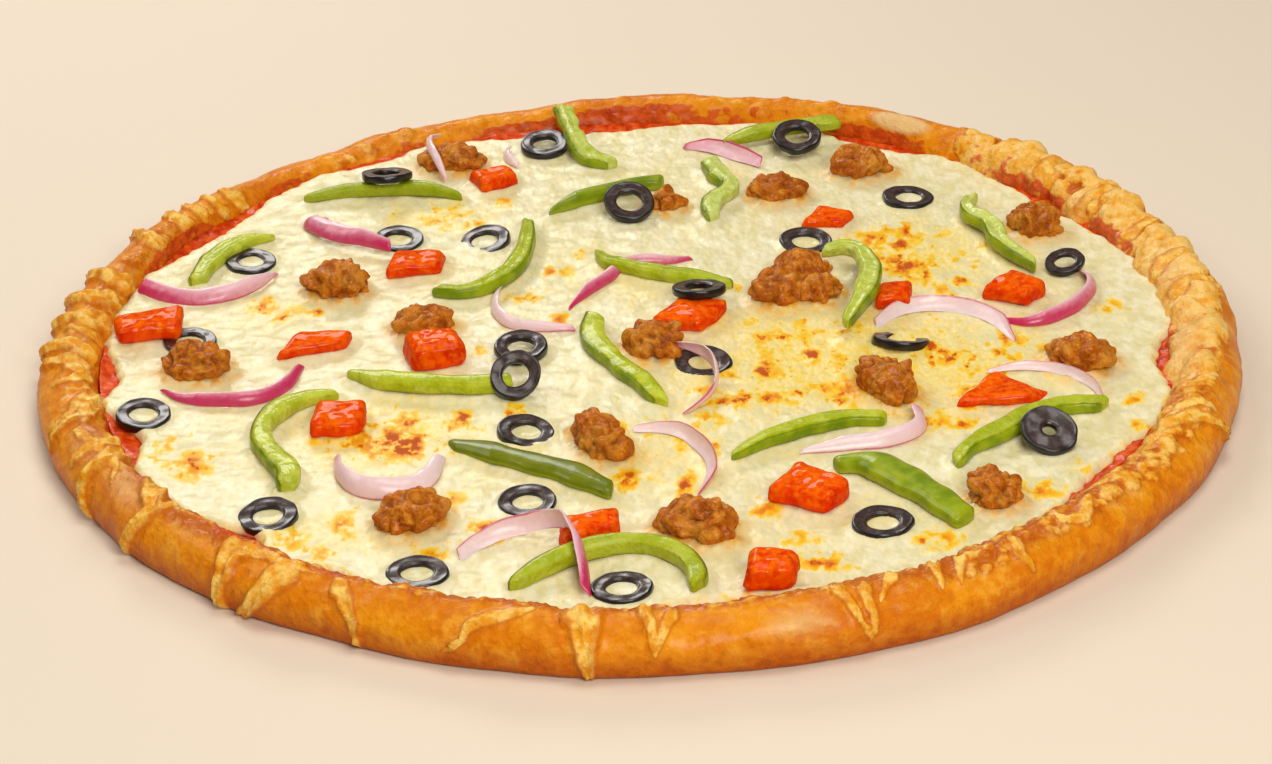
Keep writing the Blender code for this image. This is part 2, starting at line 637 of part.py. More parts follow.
def make_pizza():
    clear_scene()
    pizza = new_collection("Pan pizza")
    crust = new_object("crust", make_dough(), pizza, CRUST_COLOUR, 0.45)
    fuse(crust, "strands", [strand_mesh(*strand) for strand in STRANDS])
    new_object("sauce", make_sauce(), pizza, SAUCE_COLOUR, 0.35)
    cheese = new_object("cheese", make_cheese(), pizza, CHEESE_COLOUR, 0.4)

    beneath = Beneath()
    beneath.add(crust.data)
    beneath.add(cheese.data)
    toppings = Beneath()

    def put(name, mesh, place, colour, roughness):
        beneath.lower(mesh, place)
        toppings.add(mesh)
        return new_object(name, mesh, pizza, colour, roughness)

    olives = 0
    for x, y, front, side in LOW_OLIVES:
        olives += 1
        put(f"olive_{olives:02}", make_olive(front, side), (x, y), OLIVE_COLOUR, 0.25)
    for number, lobes in enumerate(SAUSAGES, 1):
        mesh = make_sausage(lobes, number * 1.7)
        put(f"sausage_{number:02}", mesh, lobes[0][:2], SAUSAGE_COLOUR, 0.6)
    for number, (x, y, length, width, height, turn, pull) in enumerate(TOMATOES, 1):
        mesh = make_tomato(length, width, height, turn, pull, number * 2.3)
        put(f"tomato_{number:02}", mesh, (x, y), TOMATO_COLOUR, 0.2)
    for number, (points, width, height) in enumerate(PEPPERS, 1):
        put(f"pepper_{number:02}", make_pepper(points, width, height), (0, 0), PEPPER_COLOUR, 0.3)
    for x, y, front, side in HIGH_OLIVES:
        olives += 1
        put(f"olive_{olives:02}", make_olive(front, side), (x, y), OLIVE_COLOUR, 0.25)

    fused = []
    for x, y, front, side in SUNK_OLIVES:
        mesh = make_olive(front, side)
        place = clear_place(x, y, toppings)
        place.z = cheese_height(place.x, place.y) + OLIVE_RISE
        mesh.transform(Matrix.Translation(place))
        fused.append(mesh)
    for points, width, height in ONIONS:
        for run in clear_runs(points, width, toppings):
            for place in run:
                place.z = cheese_height(place.x, place.y) - ONION_SINK
            high = height * MM + ONION_SINK
            fused.append(swept_mesh(run, width * MM, high, ONION_SECTION, ONION_ENDS, ONION_STEPS))
    fuse(cheese, "relief", fused)


make_pizza()
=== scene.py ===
import math

import bpy
import numpy as np
from mathutils import Matrix, Vector, noise
from mathutils.kdtree import KDTree


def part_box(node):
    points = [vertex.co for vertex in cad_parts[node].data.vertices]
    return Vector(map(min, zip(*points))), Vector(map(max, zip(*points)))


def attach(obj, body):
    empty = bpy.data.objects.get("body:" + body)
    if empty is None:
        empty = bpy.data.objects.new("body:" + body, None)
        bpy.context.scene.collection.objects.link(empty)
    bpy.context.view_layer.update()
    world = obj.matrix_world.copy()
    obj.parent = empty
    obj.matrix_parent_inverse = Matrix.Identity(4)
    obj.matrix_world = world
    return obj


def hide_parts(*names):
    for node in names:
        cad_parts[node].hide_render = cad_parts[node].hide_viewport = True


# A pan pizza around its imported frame. Lists are in millimetres from the middle, +X right, +Y back.
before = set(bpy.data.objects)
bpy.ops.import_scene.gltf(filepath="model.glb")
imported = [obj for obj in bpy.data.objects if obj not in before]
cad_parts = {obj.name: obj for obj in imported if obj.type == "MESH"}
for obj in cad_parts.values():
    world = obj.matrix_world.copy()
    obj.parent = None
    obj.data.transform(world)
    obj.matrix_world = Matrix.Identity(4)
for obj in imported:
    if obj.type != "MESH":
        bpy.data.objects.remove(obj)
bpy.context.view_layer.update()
mm = 0.001
print("frame loaded:", len(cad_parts), "nodes")


# Shader maths

class Wire:  # an output socket that takes part in sums
    def __init__(self, tree, socket=None):
        self.tree = tree
        self.socket = socket

    def node(self, kind, settings=None, values=None, output=0):
        made = self.tree.nodes.new("ShaderNode" + kind)
        for key, value in (settings or {}).items():
            if key == "stops":
                setStops(made.color_ramp, value)
            else:
                setattr(made, key, value)
        for key, value in (values or {}).items():
            if isinstance(value, Wire):
                self.tree.links.new(value.socket, made.inputs[key])
            else:
                made.inputs[key].default_value = value
        return Wire(self.tree, made.outputs[output])

    def maths(self, operation, *values):
        return self.node("Math", {"operation": operation}, dict(enumerate(values)))

    def vector(self, operation, *values, output=0):
        return self.node("VectorMath", {"operation": operation}, dict(enumerate(values)), output)

    def __add__(self, other):
        return self.maths("ADD", self, other)

    __radd__ = __add__

    def __sub__(self, other):
        return self.maths("SUBTRACT", self, other)

    def __rsub__(self, other):
        return self.maths("SUBTRACT", other, self)

    def __mul__(self, other):
        return self.maths("MULTIPLY", self, other)

    __rmul__ = __mul__

    def __pow__(self, other):
        return self.maths("POWER", self, other)

    def clamp(self):
        return self.maths("MAXIMUM", self.maths("MINIMUM", self, 1.0), 0.0)

    def step(self, low, high):  # 0 below low, 1 above high, smooth between
        spread = {0: self, 1: low, 2: high, 3: 0.0, 4: 1.0}
        return self.node("MapRange", {"interpolation_type": "SMOOTHSTEP"}, spread)

    def mix(self, first, second):  # first where this is 0, second where it is 1
        return self.node("Mix", {"data_type": "RGBA"}, {0: self, 6: first, 7: second}, 2)

    def ramp(self, *stops):  # each stop is its place and its colour
        return self.node("ValToRGB", {"stops": stops}, {0: self})

    def attribute(self, name):
        return self.node("Attribute", {"attribute_name": name}, None, "Fac")

    def noise(self, size, detail=2.0, rough=0.5, place=None):
        values = {"Vector": place or self.coords(), "Scale": 1 / size, "Detail": detail, "Roughness": rough}
        return self.node("TexNoise", None, values, "Fac")

    def stretched(self, *share):
        return self.vector("MULTIPLY", self.coords(), share)

    def cells(self, size, place=None):  # distance to the nearest of many scattered points
        return self.node("TexVoronoi", None, {"Vector": place or self.coords(), "Scale": 1 / size})

    def around(self, share):  # runs slowly round the rim and fast across it
        radius = self.vector("LENGTH", self.stretched(1, 1, 0), output="Value")
        height = self.node("SeparateXYZ", None, {0: self.coords()}, "Z")
        across = self.node("CombineXYZ", None, {0: radius, 1: height})
        return self.vector("ADD", across, self.stretched(share, share, share))

    def coords(self):
        return self.node("TexCoord", None, None, "Object")

    def bump(self, height, depth, strength=1.0):
        return self.node("Bump", None, {"Height": height, "Distance": depth, "Strength": strength})


def setStops(band, stops):  # the colours of a ramp
    while len(band.elements) < len(stops):
        band.elements.new(0.5)
    for element, (place, *colour) in zip(band.elements, stops):
        element.position = place
        element.color = paint(*colour)


def paint(red, green, blue):  # a colour as a screen shows it, 0 to 255
    def linear(value):
        value /= 255
        return value / 12.92 if value <= 0.04045 else ((value + 0.055) / 1.055) ** 2.4
    return (linear(red), linear(green), linear(blue), 1.0)


def newFinish(name):
    material = bpy.data.materials.new(name)
    material.use_nodes = True
    return material, Wire(material.node_tree)


def soft(weight, radius, scale):  # how much light goes in, and how deep
    return {"Subsurface Weight": weight, "Subsurface Radius": radius, "Subsurface Scale": scale}


def gloss(coat, rough, specular, tint=(1.0, 1.0, 1.0)):
    return {"Coat Weight": coat, "Coat Roughness": rough, "Specular IOR Level": specular,
            "Specular Tint": (*tint, 1.0)}


def connected(material, *groups):  # values or wires for the sockets of its shader
    shader = material.node_tree.nodes["Principled BSDF"]
    for socket, value in [pair for group in groups for pair in group.items()]:
        if isinstance(value, Wire):
            material.node_tree.links.new(value.socket, shader.inputs[socket])
        else:
            shader.inputs[socket].default_value = value
    return material


def layered(ground, *layers):  # each layer is where it shows and its colour
    for where, *colour in layers:
        ground = where.mix(ground, paint(*colour))
    return ground


# Modelling helpers

slopes = np.random.default_rng(4).normal(size=(1024, 3))  # one random direction for each corner of the noise
slopes /= np.linalg.norm(slopes, axis=1)[:, None]


def only(piece):
    if bpy.context.object and bpy.context.object.mode != "OBJECT":
        bpy.ops.object.mode_set(mode="OBJECT")
    bpy.ops.object.select_all(action="DESELECT")
    piece.select_set(True)
    bpy.context.view_layer.objects.active = piece


def applied(piece, kind, **settings):
    only(piece)
    modifier = piece.modifiers.new(kind.title(), kind)
    for key, value in settings.items():
        setattr(modifier, key, value)
    bpy.ops.object.modifier_apply(modifier=modifier.name)


def smoother(piece, levels):
    applied(piece, "SUBSURF", levels=levels, render_levels=levels)


def edit(kind="VERT", action="SELECT"):
    bpy.ops.object.mode_set(mode="EDIT")
    bpy.ops.mesh.select_mode(type=kind)
    bpy.ops.mesh.select_all(action=action)


def pick(piece, kind, wanted):  # edit mode, with only the wanted edges or faces selected
    edit(kind, "DESELECT")
    bpy.ops.object.mode_set(mode="OBJECT")
    for part in piece.data.edges if kind == "EDGE" else piece.data.polygons:
        part.select = wanted(part)
    bpy.ops.object.mode_set(mode="EDIT")


def leaveEdit():  # with every normal facing out
    bpy.ops.mesh.select_mode(type="VERT")
    bpy.ops.mesh.select_all(action="SELECT")
    bpy.ops.mesh.normals_make_consistent(inside=False)
    bpy.ops.object.mode_set(mode="OBJECT")


def vectorsOf(rows, key):
    flat = np.empty(len(rows) * 3, np.float32)
    rows.foreach_get(key, flat)
    return flat.reshape(-1, 3).astype(float)


def pointsOf(piece):
    return vectorsOf(piece.data.vertices, "co")


def normalsOf(piece):
    return vectorsOf(piece.data.vertex_normals, "vector")


def setPoints(piece, points):
    piece.data.vertices.foreach_set("co", np.asarray(points, np.float32).ravel())
    piece.data.update()


def setMasks(piece, **masks):
    for name, values in masks.items():
        mask = piece.data.attributes.new(name, "FLOAT", "POINT")
        mask.data.foreach_set("value", np.asarray(values, np.float32))


def roughness(points, size, seed=0):  # noise from about -1 to 1 at each point, lumps of this size in mm
    spots = np.asarray(points) / (size * mm) + np.array([7.31, 3.17, 5.53]) * seed
    corner = np.floor(spots)
    part = spots - corner
    blend = part ** 3 * (part * (part * 6 - 15) + 10)
    total = np.zeros(len(spots))
    for shift in np.ndindex(2, 2, 2):
        key = (corner + shift).astype(np.int64) * np.array([73856093, 19349663, 83492791])
        slope = slopes[(key[:, 0] ^ key[:, 1] ^ key[:, 2]) % len(slopes)]
        weight = np.prod(np.where(np.array(shift) == 1, blend, 1 - blend), axis=1)
        total += weight * np.sum(slope * (part - shift), axis=1)
    return total * 1.5


def stray(points, axis, amount, size, seed):  # noise along one axis, the amount in mm
    points[:, axis] += amount * roughness(points, size, seed) * mm


def polar(points):  # radius in mm and degrees round
    radius = np.hypot(points[:, 0], points[:, 1]) / mm
    return radius, np.degrees(np.arctan2(points[:, 1], points[:, 0])) % 360


def copyNode(name):
    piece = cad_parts[name].copy()
    piece.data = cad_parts[name].data.copy()
    piece.parent = None
    for key in list(piece.keys()):
        del piece[key]
    bpy.context.scene.collection.objects.link(piece)
    piece.hide_render = piece.hide_viewport = False
    only(piece)
    edit()
    bpy.ops.mesh.remove_doubles(threshold=1e-6)
    leaveEdit()
    return piece


def softened(name, grain):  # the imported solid's copy with its edges rounded off
    piece = copyNode(name)
    applied(piece, "REMESH", mode="VOXEL", voxel_size=grain * mm)
    applied(piece, "SMOOTH", iterations=3)
    return piece


def copyOf(piece):
    other = piece.copy()
    other.data = piece.data.copy()
    bpy.context.scene.collection.objects.link(other)
    return other


def finished(piece, name, material, nodes=()):
    only(piece)
    bpy.ops.object.transform_apply(location=True, rotation=True, scale=True)
    piece.name = piece.data.name = name
    piece.data.materials.clear()
    piece.data.materials.append(material)
    bpy.ops.object.shade_smooth()
    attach(piece, "root")
    if nodes:
        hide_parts(*nodes)
    return piece


def offset(angle, middle):  # degrees from the middle, -180 to 180
    return (angle - middle + 180) % 360 - 180


def hump(angle, middle, halfWidth):
    away = np.abs(offset(angle, middle)) / halfWidth
    return np.maximum(0, 1 - away * away) ** 2


# Crust

crust = {
    "radius": 175.5,
    "recess": 157.5,
    "crest": 166.4,
    "height": 15.0,
    "profile": [  # radius and height from the foot of the inner wall, over the crest and under
        (157.5, 4.5), (157.9, 8.5), (160.0, 12.2), (163.2, 14.4), (166.4, 15.0), (170.3, 13.7),
        (173.8, 10.8), (175.5, 7.0), (175.2, 2.6), (174.2, 0.5), (173.0, 0.0),
    ],
    "under": [(165.0, 0.0), (158.0, 0.0), (150.0, 0.0)],
    "foot": 172.5,  # the flat underside starts inside this radius
    "steps": 1500,
    "spacing": 0.72,
    "ropeSpread": 1.15,  # half width of a ribbon on its width below
    # Melted ribbons over the rim: width, height, then (degrees round, mm along the profile) points.
    "ropes": [
        (3.6, 1.7, [(141, 6), (142.5, 11), (142.8, 16)]),
        (2.6, 1.4, [(144.2, 5), (145, 11), (144.8, 18)]),
        (2.6, 1.2, [(147.5, 8), (147.8, 15), (147, 20)]),
        (4.4, 1.9, [(150.5, 7), (150.8, 13), (150, 20)]),
        (4.4, 2.0, [(156.5, 8), (156.2, 13), (154.8, 20), (153.5, 25)]),
        (4.4, 2.1, [(165.5, 6), (166.6, 12), (165.6, 19), (164, 26)]),
        (4.2, 2.1, [(169.5, 6), (171.3, 13), (170.7, 20), (169, 28)]),
        (5.6, 2.5, [(174.5, 5), (176.4, 12), (175.8, 19), (174.6, 28)]),
        (2.6, 1.4, [(179, 8), (178.8, 13), (178, 19)]),
        (4.2, 2.0, [(184, 8), (181.8, 13), (180.8, 19), (179.6, 28)]),
        (3.6, 1.8, [(188, 11), (185.2, 13), (184.2, 18), (183, 25)]),
        (2.6, 1.2, [(187.5, 8), (189.5, 14), (189, 20)]),
        (3.6, 1.9, [(190.5, 6), (194, 10), (198, 13.5), (198.8, 20), (199, 28)]),
        (2.2, 1.0, [(192, 12), (196, 16), (197, 22), (196.6, 27)]),
        (3.6, 1.8, [(202.4, 6), (203.8, 12), (204.4, 18), (204.2, 25)]),
        (4.0, 2.0, [(205, 7), (207.2, 14), (207.6, 20), (207.4, 26), (209.4, 33)]),
        (2.0, 0.9, [(200.5, 18), (203, 16), (206, 15), (209.5, 16), (211, 20)]),
        (4.0, 2.1, [(212.5, 8), (216.5, 14), (218.8, 18), (217.8, 25), (216.6, 34)]),
        (2.0, 1.0, [(219.5, 11), (219.2, 17), (217.8, 22)]),
        (4.0, 2.0, [(232.5, 15), (229.8, 18), (230.4, 25), (230, 30), (230.4, 35)]),
        (3.8, 2.0, [(237, 15), (236.2, 20), (234.6, 27), (233.2, 32), (231.6, 36)]),
        (2.2, 1.0, [(230, 17.5), (233, 16), (236, 17), (238.5, 16)]),
        (2.6, 1.4, [(241, 16), (242.6, 21), (244.2, 27), (244.6, 35)]),
        (2.2, 1.2, [(260, 15.5), (257.4, 19), (254.6, 22.5), (254.4, 26), (252.6, 30)]),
        (4.8, 1.9, [(264.2, 11), (264.6, 19), (264.8, 26), (265, 30)]),
        (2.6, 1.5, [(264.8, 26), (265.1, 32), (265.2, 36)]),
        (2.2, 1.3, [(269.6, 12), (270.3, 19), (270.7, 28)]),
        (2.0, 1.2, [(272.6, 15), (271.6, 20), (270.8, 27)]),
        (1.8, 1.1, [(286.6, 13), (287.6, 19), (288.2, 25), (289, 30)]),
        (2.1, 1.2, [(289.8, 14), (289.2, 19), (289.4, 25), (289.3, 29)]),
        (1.8, 0.9, [(293, 13), (291.4, 17), (290.4, 21)]),
        (2.4, 1.2, [(297.2, 10), (296.4, 15), (296.2, 21)]),
        (1.8, 0.9, [(300, 12), (298.6, 17), (298, 21)]),
        (2.0, 1.0, [(316, 14), (313, 19), (311, 17), (311.6, 13)]),
        (2.4, 1.1, [(305.5, 14), (304.6, 20), (305.4, 26)]),
        (3.4, 2.2, [(331.5, 11), (334, 14), (335.6, 19), (336.8, 25), (338.6, 31)]),
        (2.2, 1.1, [(336.5, 11), (337.5, 16), (338.5, 22)]),
        (3.6, 1.4, [(362, 8), (363.5, 12), (362.8, 18)]),
        (3.2, 1.2, [(368, 5), (370, 11), (369.6, 17)]),
        (3.2, 1.4, [(378, 7), (378.6, 13), (378, 20)]),
        (3.6, 1.2, [(386, 5), (387, 11), (387, 17)]),
        (3.4, 1.2, [(393.6, 7), (396, 11), (395.6, 18)]),
    ],
    # Round lumps side by side: how many, smallest and largest radius, from and to degrees, from and to mm
    # along the profile, height as a share of the radius.
    "clods": [
        (190, 2.6, 5.4, 343, 409, 2, 17, 0.62), (300, 1.2, 2.4, 338, 412, 2, 21, 0.55),
        (70, 2.0, 3.4, 316, 348, 6, 18, 0.4), (240, 1.1, 2.1, 296, 345, 6, 20, 0.5),
        (340, 0.9, 2.1, 205, 298, 7, 15, 0.42), (60, 1.2, 2.6, 134, 202, 5, 16, 0.4),
        (60, 1.2, 2.6, 60, 134, 8, 16, 0.35),
    ],
    # Baked cheese crumbs: middle and half width in degrees, where on the profile, depth and strength.
    "crumbs": [
        (262, 66, 10.5, 6, 0.95), (215, 30, 12, 6, 0.55), (320, 30, 14, 8, 0.8), (300, 14, 15, 7, 0.6),
        (352, 18, 11, 8, 0.9), (374, 22, 11, 9, 1.1), (392, 18, 11, 9, 1.0), (405, 12, 10, 7, 0.6),
        (165, 32, 12, 7, 0.7), (200, 18, 17, 7, 0.5), (225, 14, 17, 5, 0.5), (480, 14, 10, 5, 0.5),
    ],
    # Sauce on the inner slope: middle and half width in degrees, how far up the profile, strength.
    "stains": [
        (152, 9, 9, 1.0), (134, 7, 10, 0.8), (160, 7, 8, 0.7), (185, 9, 7, 0.7), (200, 8, 8, 0.9),
        (229, 5, 16, 0.9), (240, 2, 16, 0.8), (277, 5, 14, 0.7), (325, 8, 9, 0.8), (354, 9, 6, 0.9),
        (381, 8, 8, 0.9), (396, 10, 7, 0.9), (402, 6, 11, 0.5), (419, 9, 8, 1.0), (438, 12, 11, 0.7),
        (450, 11, 11, 1.0), (464, 8, 10, 1.0), (476, 5, 9, 0.6),
    ],
    "blister": (417, 4.2, 11.5, 4.0, 1.1),  # degrees, half width, place on the profile, half height, rise
    # Pale places, partly floury patches and partly painted highlights on the ribbons of the left rim: middle
    # and half width in degrees, where on the profile, half height, strength.
    "pale": [
        (378, 32, 6, 4, 0.25), (351, 13, 8, 6, 0.7), (283, 4, 23, 3, 0.8), (213, 6, 18, 4, 0.6),
        (204, 5, 17, 5, 0.6), (182, 4, 13, 3, 0.6), (368, 6, 9, 4, 0.7),
    ],
}


def outlineWave(angle):  # mm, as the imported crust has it
    turn = np.radians(angle)
    swell = 1.1 * np.cos(turn - math.radians(320)) - 1.4 * hump(angle, 240, 60)
    return swell + 0.5 * np.sin(4 * turn + 0.6) + 0.4 * np.sin(10 * turn) + 0.3 * np.sin(22 * turn)


def rimWave(angle):
    turn = np.radians(angle)
    swell = 2.2 * hump(angle, 48, 40) - 2.2 * hump(angle, 122, 40)
    return swell + 0.4 * np.sin(5 * turn + 1) + 0.5 * np.sin(13 * turn) + 0.3 * np.sin(31 * turn)


def smoothProfile():  # points about 0.7 mm apart on a smooth line through the profile
    places = [Vector(place) for place in crust["profile"]]
    line = []
    for index in range(len(places) - 1):
        before = places[max(0, index - 1)]
        start, end = places[index], places[index + 1]
        after = places[min(len(places) - 1, index + 2)]
        for step in range(20):
            t = step / 20
            bend = (2 * start + (end - before) * t + (2 * before - 5 * start + 4 * end - after) * t ** 2
                    + (3 * start - before - 3 * end + after) * t ** 3) / 2
            line.append(bend)
    line.append(places[-1])
    line = np.array(line)
    along = np.concatenate([[0], np.cumsum(np.linalg.norm(np.diff(line, axis=0), axis=1))])
    wanted = np.linspace(0, along[-1], int(along[-1] / crust["spacing"]) + 1)
    return wanted, np.interp(wanted, along, line[:, 0]), np.interp(wanted, along, line[:, 1])


def ropeField(angle, along, radius, ripple):  # how high the ribbons stand over the dough, and a mask of them
    lift = np.zeros(len(angle))
    mask = np.zeros(len(angle))
    for width, height, path in crust["ropes"]:
        places = []
        for (a0, s0), (a1, s1) in zip(path, path[1:]):
            places += [(a0 + (a1 - a0) * t / 6, s0 + (s1 - s0) * t / 6) for t in range(6)]
        places.append(path[-1])
        middle = (path[0][0] + path[-1][0]) / 2
        swing = offset(angle, middle)
        near = np.nonzero(np.abs(swing) < 10)[0]
        best = np.full(len(near), 99.0)
        share = np.zeros(len(near))
        for index, (place, end) in enumerate(zip(places, places[1:])):
            x = (swing[near] - (place[0] - middle)) * math.radians(1) * radius[near]
            y = along[near] - place[1]
            dx = (end[0] - place[0]) * math.radians(1) * crust["crest"]
            dy = end[1] - place[1]
            t = np.clip((x * dx + y * dy) / (dx * dx + dy * dy + 1e-9), 0, 1)
            away = np.hypot(x - t * dx, y - t * dy)
            closer = away < best
            best[closer] = away[closer]
            share[closer] = ((index + t) / (len(places) - 1))[closer]
        taper = np.clip(np.minimum(share, 1 - share) * 5 + 0.4, 0, 1)
        spread = np.clip(1.25 - share, 0.55, 1)  # wide on the crest, narrow at the foot
        half = width * crust["ropeSpread"] * taper * spread * (1 + 0.35 * ripple[near])
        out = np.clip(best / half, 0, 2)
        body = np.sqrt(np.maximum(0, 1 - out ** 3))
        folds = 0.9 + 0.38 * np.cos(6.5 * out + 4 * share + width * 5)
        skirt = 0.3 * np.exp(-out ** 2)
        lift[near] = np.maximum(lift[near], np.maximum(body * folds, skirt) * height * taper)
        mask[near] = np.maximum(mask[near], np.clip(1.5 - 1.3 * out, 0, 1))
    return lift, mask


def clodField(angle, along):  # mm that the lumps stand over the dough, with creases between them
    chance = np.random.default_rng(11)
    lift = np.zeros(len(angle))
    for count, small, large, first, last, low, high, tall in crust["clods"]:
        for size, turn, place in chance.uniform((small, first, low), (large, last, high), (count, 3)):
            size *= min(1, 0.5 + min(turn - first, last - turn) / 10)
            across = offset(angle, turn) * math.radians(crust["crest"])
            away = ((across / 1.15) ** 2 + (along - place) ** 2) / size ** 2
            lift = np.maximum(lift, np.sqrt(np.maximum(0, 1 - away)) * size * tall)
    return lift


def crustFinish():
    material, w = newFinish("baked crust")
    masks = ("rope", "stain", "pale", "crumb", "clod", "height")
    rope, stain, pale, crumb, clod, height = [w.attribute(name) for name in masks]
    broad = w.noise(0.022, 3.0, 0.55)
    fine = w.noise(0.0035, 4.0, 0.6)
    grain = w.noise(0.0011, 3.0, 0.6)
    patchy = w.noise(0.007, 3.0, 0.6)
    streak = w.noise(0.0022, 3.0, 0.6, w.around(0.2))
    # painted shade: the dough is painted darker towards the bottom of the crust, with darker mottles there
    low = 1 - height
    dough = broad.step(0.36, 0.66).mix(paint(216, 118, 0), paint(234, 146, 6))
    dough = layered(
        dough, (fine.step(0.45, 0.75) * 0.4, 238, 164, 40), (streak.step(0.5, 0.75) * 0.15, 244, 170, 48),
        (patchy.step(0.50, 0.72) * 0.5, 246, 176, 56), (patchy.step(0.48, 0.30) * 0.4, 198, 94, 0),
        (low.step(0.35, 1.0) * 0.8, 178, 76, 0),
        (fine.step(0.52, 0.30) * low.step(0.2, 0.9) * 0.5, 158, 66, 4))
    # painted light and shade on the lumps: the clod mask lifts the ramp, so their tops are painted lighter
    cheesy = (fine * 0.55 + grain * 0.45 + clod * 0.22 + (patchy - 0.5) * 0.7 - 0.03).ramp(
        (0.30, 194, 92, 2), (0.44, 228, 142, 18), (0.58, 240, 176, 56), (0.78, 246, 206, 118))
    top = ((crumb * (0.35 + fine)).step(0.18, 0.75) * 0.85).mix(dough, cheesy)
    # painted shade: the creases between the lumps are darkened
    creaseShade = (clod - 0.36 + (fine - 0.5) * 0.8).step(0.12, -0.2) * crumb.step(0.3, 0.9)
    top = layered(
        # pale places: floury patches, and painted highlights on the ribbons of the left rim
        top, (creaseShade * 0.85, 186, 84, 2), ((pale * (0.5 + fine * 0.6)).clamp(), 230, 186, 122),
        (rope.step(0.02, 0.3) * rope.step(0.8, 0.35) * 0.6, 194, 98, 6))
    ribbon = fine.step(0.38, 0.66).mix(paint(234, 156, 24), paint(250, 208, 104))
    top = (rope * rope.step(0.25, 0.6) * (0.7 + fine)).clamp().mix(top, ribbon)
    red = fine.step(0.35, 0.65).mix(paint(168, 36, 4), paint(210, 78, 18))
    colour = ((stain + (fine - 0.5) * 0.8 + (patchy - 0.5) * 1.6).step(0.40, 0.75) * 0.9).mix(top, red)
    surface = fine * 0.8 + grain * 0.6 + w.cells(0.0022) * 0.4 + patchy * 0.8 + streak * 0.2
    body = soft(0.05, (0.004, 0.002, 0.001), 0.5)
    return connected(material, body, gloss(0.18, 0.2, 0.12, (1.0, 0.8, 0.55)), {
        "Base Color": colour, "Roughness": 0.34 + fine * 0.22 + crumb * 0.08,
        "Normal": w.bump(surface, 0.0008, 0.9)})


def turned(section, steps):  # an open line of radius and height turned round Z, closed by a disc at each end
    bpy.ops.object.select_all(action="DESELECT")
    bpy.ops.mesh.primitive_circle_add(vertices=len(section), radius=0.01)
    piece = bpy.context.object
    setPoints(piece, [(radius * mm, 0, height * mm) for radius, height in section])
    ends = {0, len(section) - 1}  # the edge that closes the circle joins the two ends of the line
    pick(piece, "EDGE", lambda edge: set(edge.vertices) == ends)
    bpy.ops.mesh.delete(type="EDGE")
    applied(piece, "SCREW", axis="Z", angle=math.tau, steps=steps, render_steps=steps,
            use_merge_vertices=True, merge_threshold=1e-5)
    edit()
    bpy.ops.mesh.fill_holes(sides=0)
    leaveEdit()
    return piece


def patches(angle, place, rows):  # one soft oval for each row of crumbs or floury places
    return [hump(angle, middle, half) * np.exp(-((place - where) / depth) ** 2) * strength
            for middle, half, where, depth, strength in rows]


def makeCrust():
    along, radii, heights = smoothProfile()
    line = [(crust["under"][-1][0], heights[0]), *zip(radii, heights), *crust["under"]]
    piece = turned(line, crust["steps"])

    points = pointsOf(piece)
    radius, angle = polar(points)
    height = points[:, 2] / mm
    place = np.full(len(points), along[-1] + 5)  # mm along the profile, past its end on the underside
    shaped = radius > crust["recess"] - 0.2
    gaps = (radius[shaped, None] - radii) ** 2 + (height[shaped, None] - heights) ** 2
    place[shaped] = along[np.argmin(gaps, axis=1)]
    place[(radius < crust["foot"]) & (height < 0.01)] = along[-1] + 5
    place[(radius < crust["recess"] + 0.05) & (height > 4)] = 0

    wave = outlineWave(angle)
    share = np.clip((radius - crust["recess"]) / (crust["crest"] - crust["recess"]), 0, 1)
    scale = 1 + share * wave / crust["radius"]
    points[:, :2] *= scale[:, None]
    points[:, 2] += rimWave(angle) * points[:, 2] / crust["height"]
    setPoints(piece, points)

    normals = normalsOf(piece)
    lift, rope = ropeField(angle, place, radius, roughness(points, 4, 21))
    crumb = sum(patches(angle, place, crust["crumbs"]))
    stain = np.zeros(len(points))
    for middle, half, where, strength in crust["stains"]:
        edge = np.clip((where - place) / 2.5 + 0.5, 0, 1)
        stain = np.maximum(stain, hump(angle, middle, half) ** 0.5 * edge * strength)
    middle, half, where, depth, rise = crust["blister"]
    oval = np.maximum(0, 1 - offset(angle, middle % 360) ** 2 / half ** 2 - (place - where) ** 2 / depth ** 2)
    # pale: floury patches, painted highlights on the ribbons, and the blister
    pale = np.max([*patches(angle, place, crust["pale"]), np.clip(oval * 2.5, 0, 1.3)], axis=0)
    lumps = roughness(points, 9, 1)
    clods = clodField(angle, place)
    bumps = roughness(points, 3.2, 2)
    specks = roughness(points, 1.7, 3)
    raised = lift * (1 + 0.25 * lumps) + np.sqrt(oval) * rise
    raised += 0.5 * lumps + 0.16 * bumps + 0.06 * specks
    raised += clods * (1 - 0.8 * rope) * (1 + 0.5 * lumps) + crumb * (0.5 * bumps + 0.45 * specks)
    raised += rope * 0.12 * specks
    fade = np.clip((along[-1] - place) / 4, 0, 1) * np.clip((place - 1) / 2, 0, 1)
    points += normals * (raised * fade * mm)[:, None]
    points[:, 2] = np.maximum(points[:, 2], 0)
    setPoints(piece, points)
    setMasks(piece, rope=rope * (0.75 + 0.35 * bumps), crumb=np.clip(crumb + 0.5 * clods, 0, 1.2),
             clod=np.clip(clods / 2.2, 0, 1), stain=stain, pale=pale,
             height=np.clip(points[:, 2] / (crust["height"] * mm), 0, 1))
    return finished(piece, "crust_dough", crustFinish(), ["crust"])


# Sauce

sauce = {
    "edge": 157.4,
    "edgeHeight": 9.0,
    "level": 6.2,
    "under": 4.8,
    "top": 5.5,  # what lies above this is the wet face
    "rings": [30, 70, 105, 128, 138] + [140 + 0.9 * step for step in range(20)],
    "steps": 900,
}


def sauceHeight(radius):
    climb = np.clip((radius - 147) / 10, 0, 1) ** 1.5
    return sauce["level"] + (sauce["edgeHeight"] - sauce["level"]) * climb


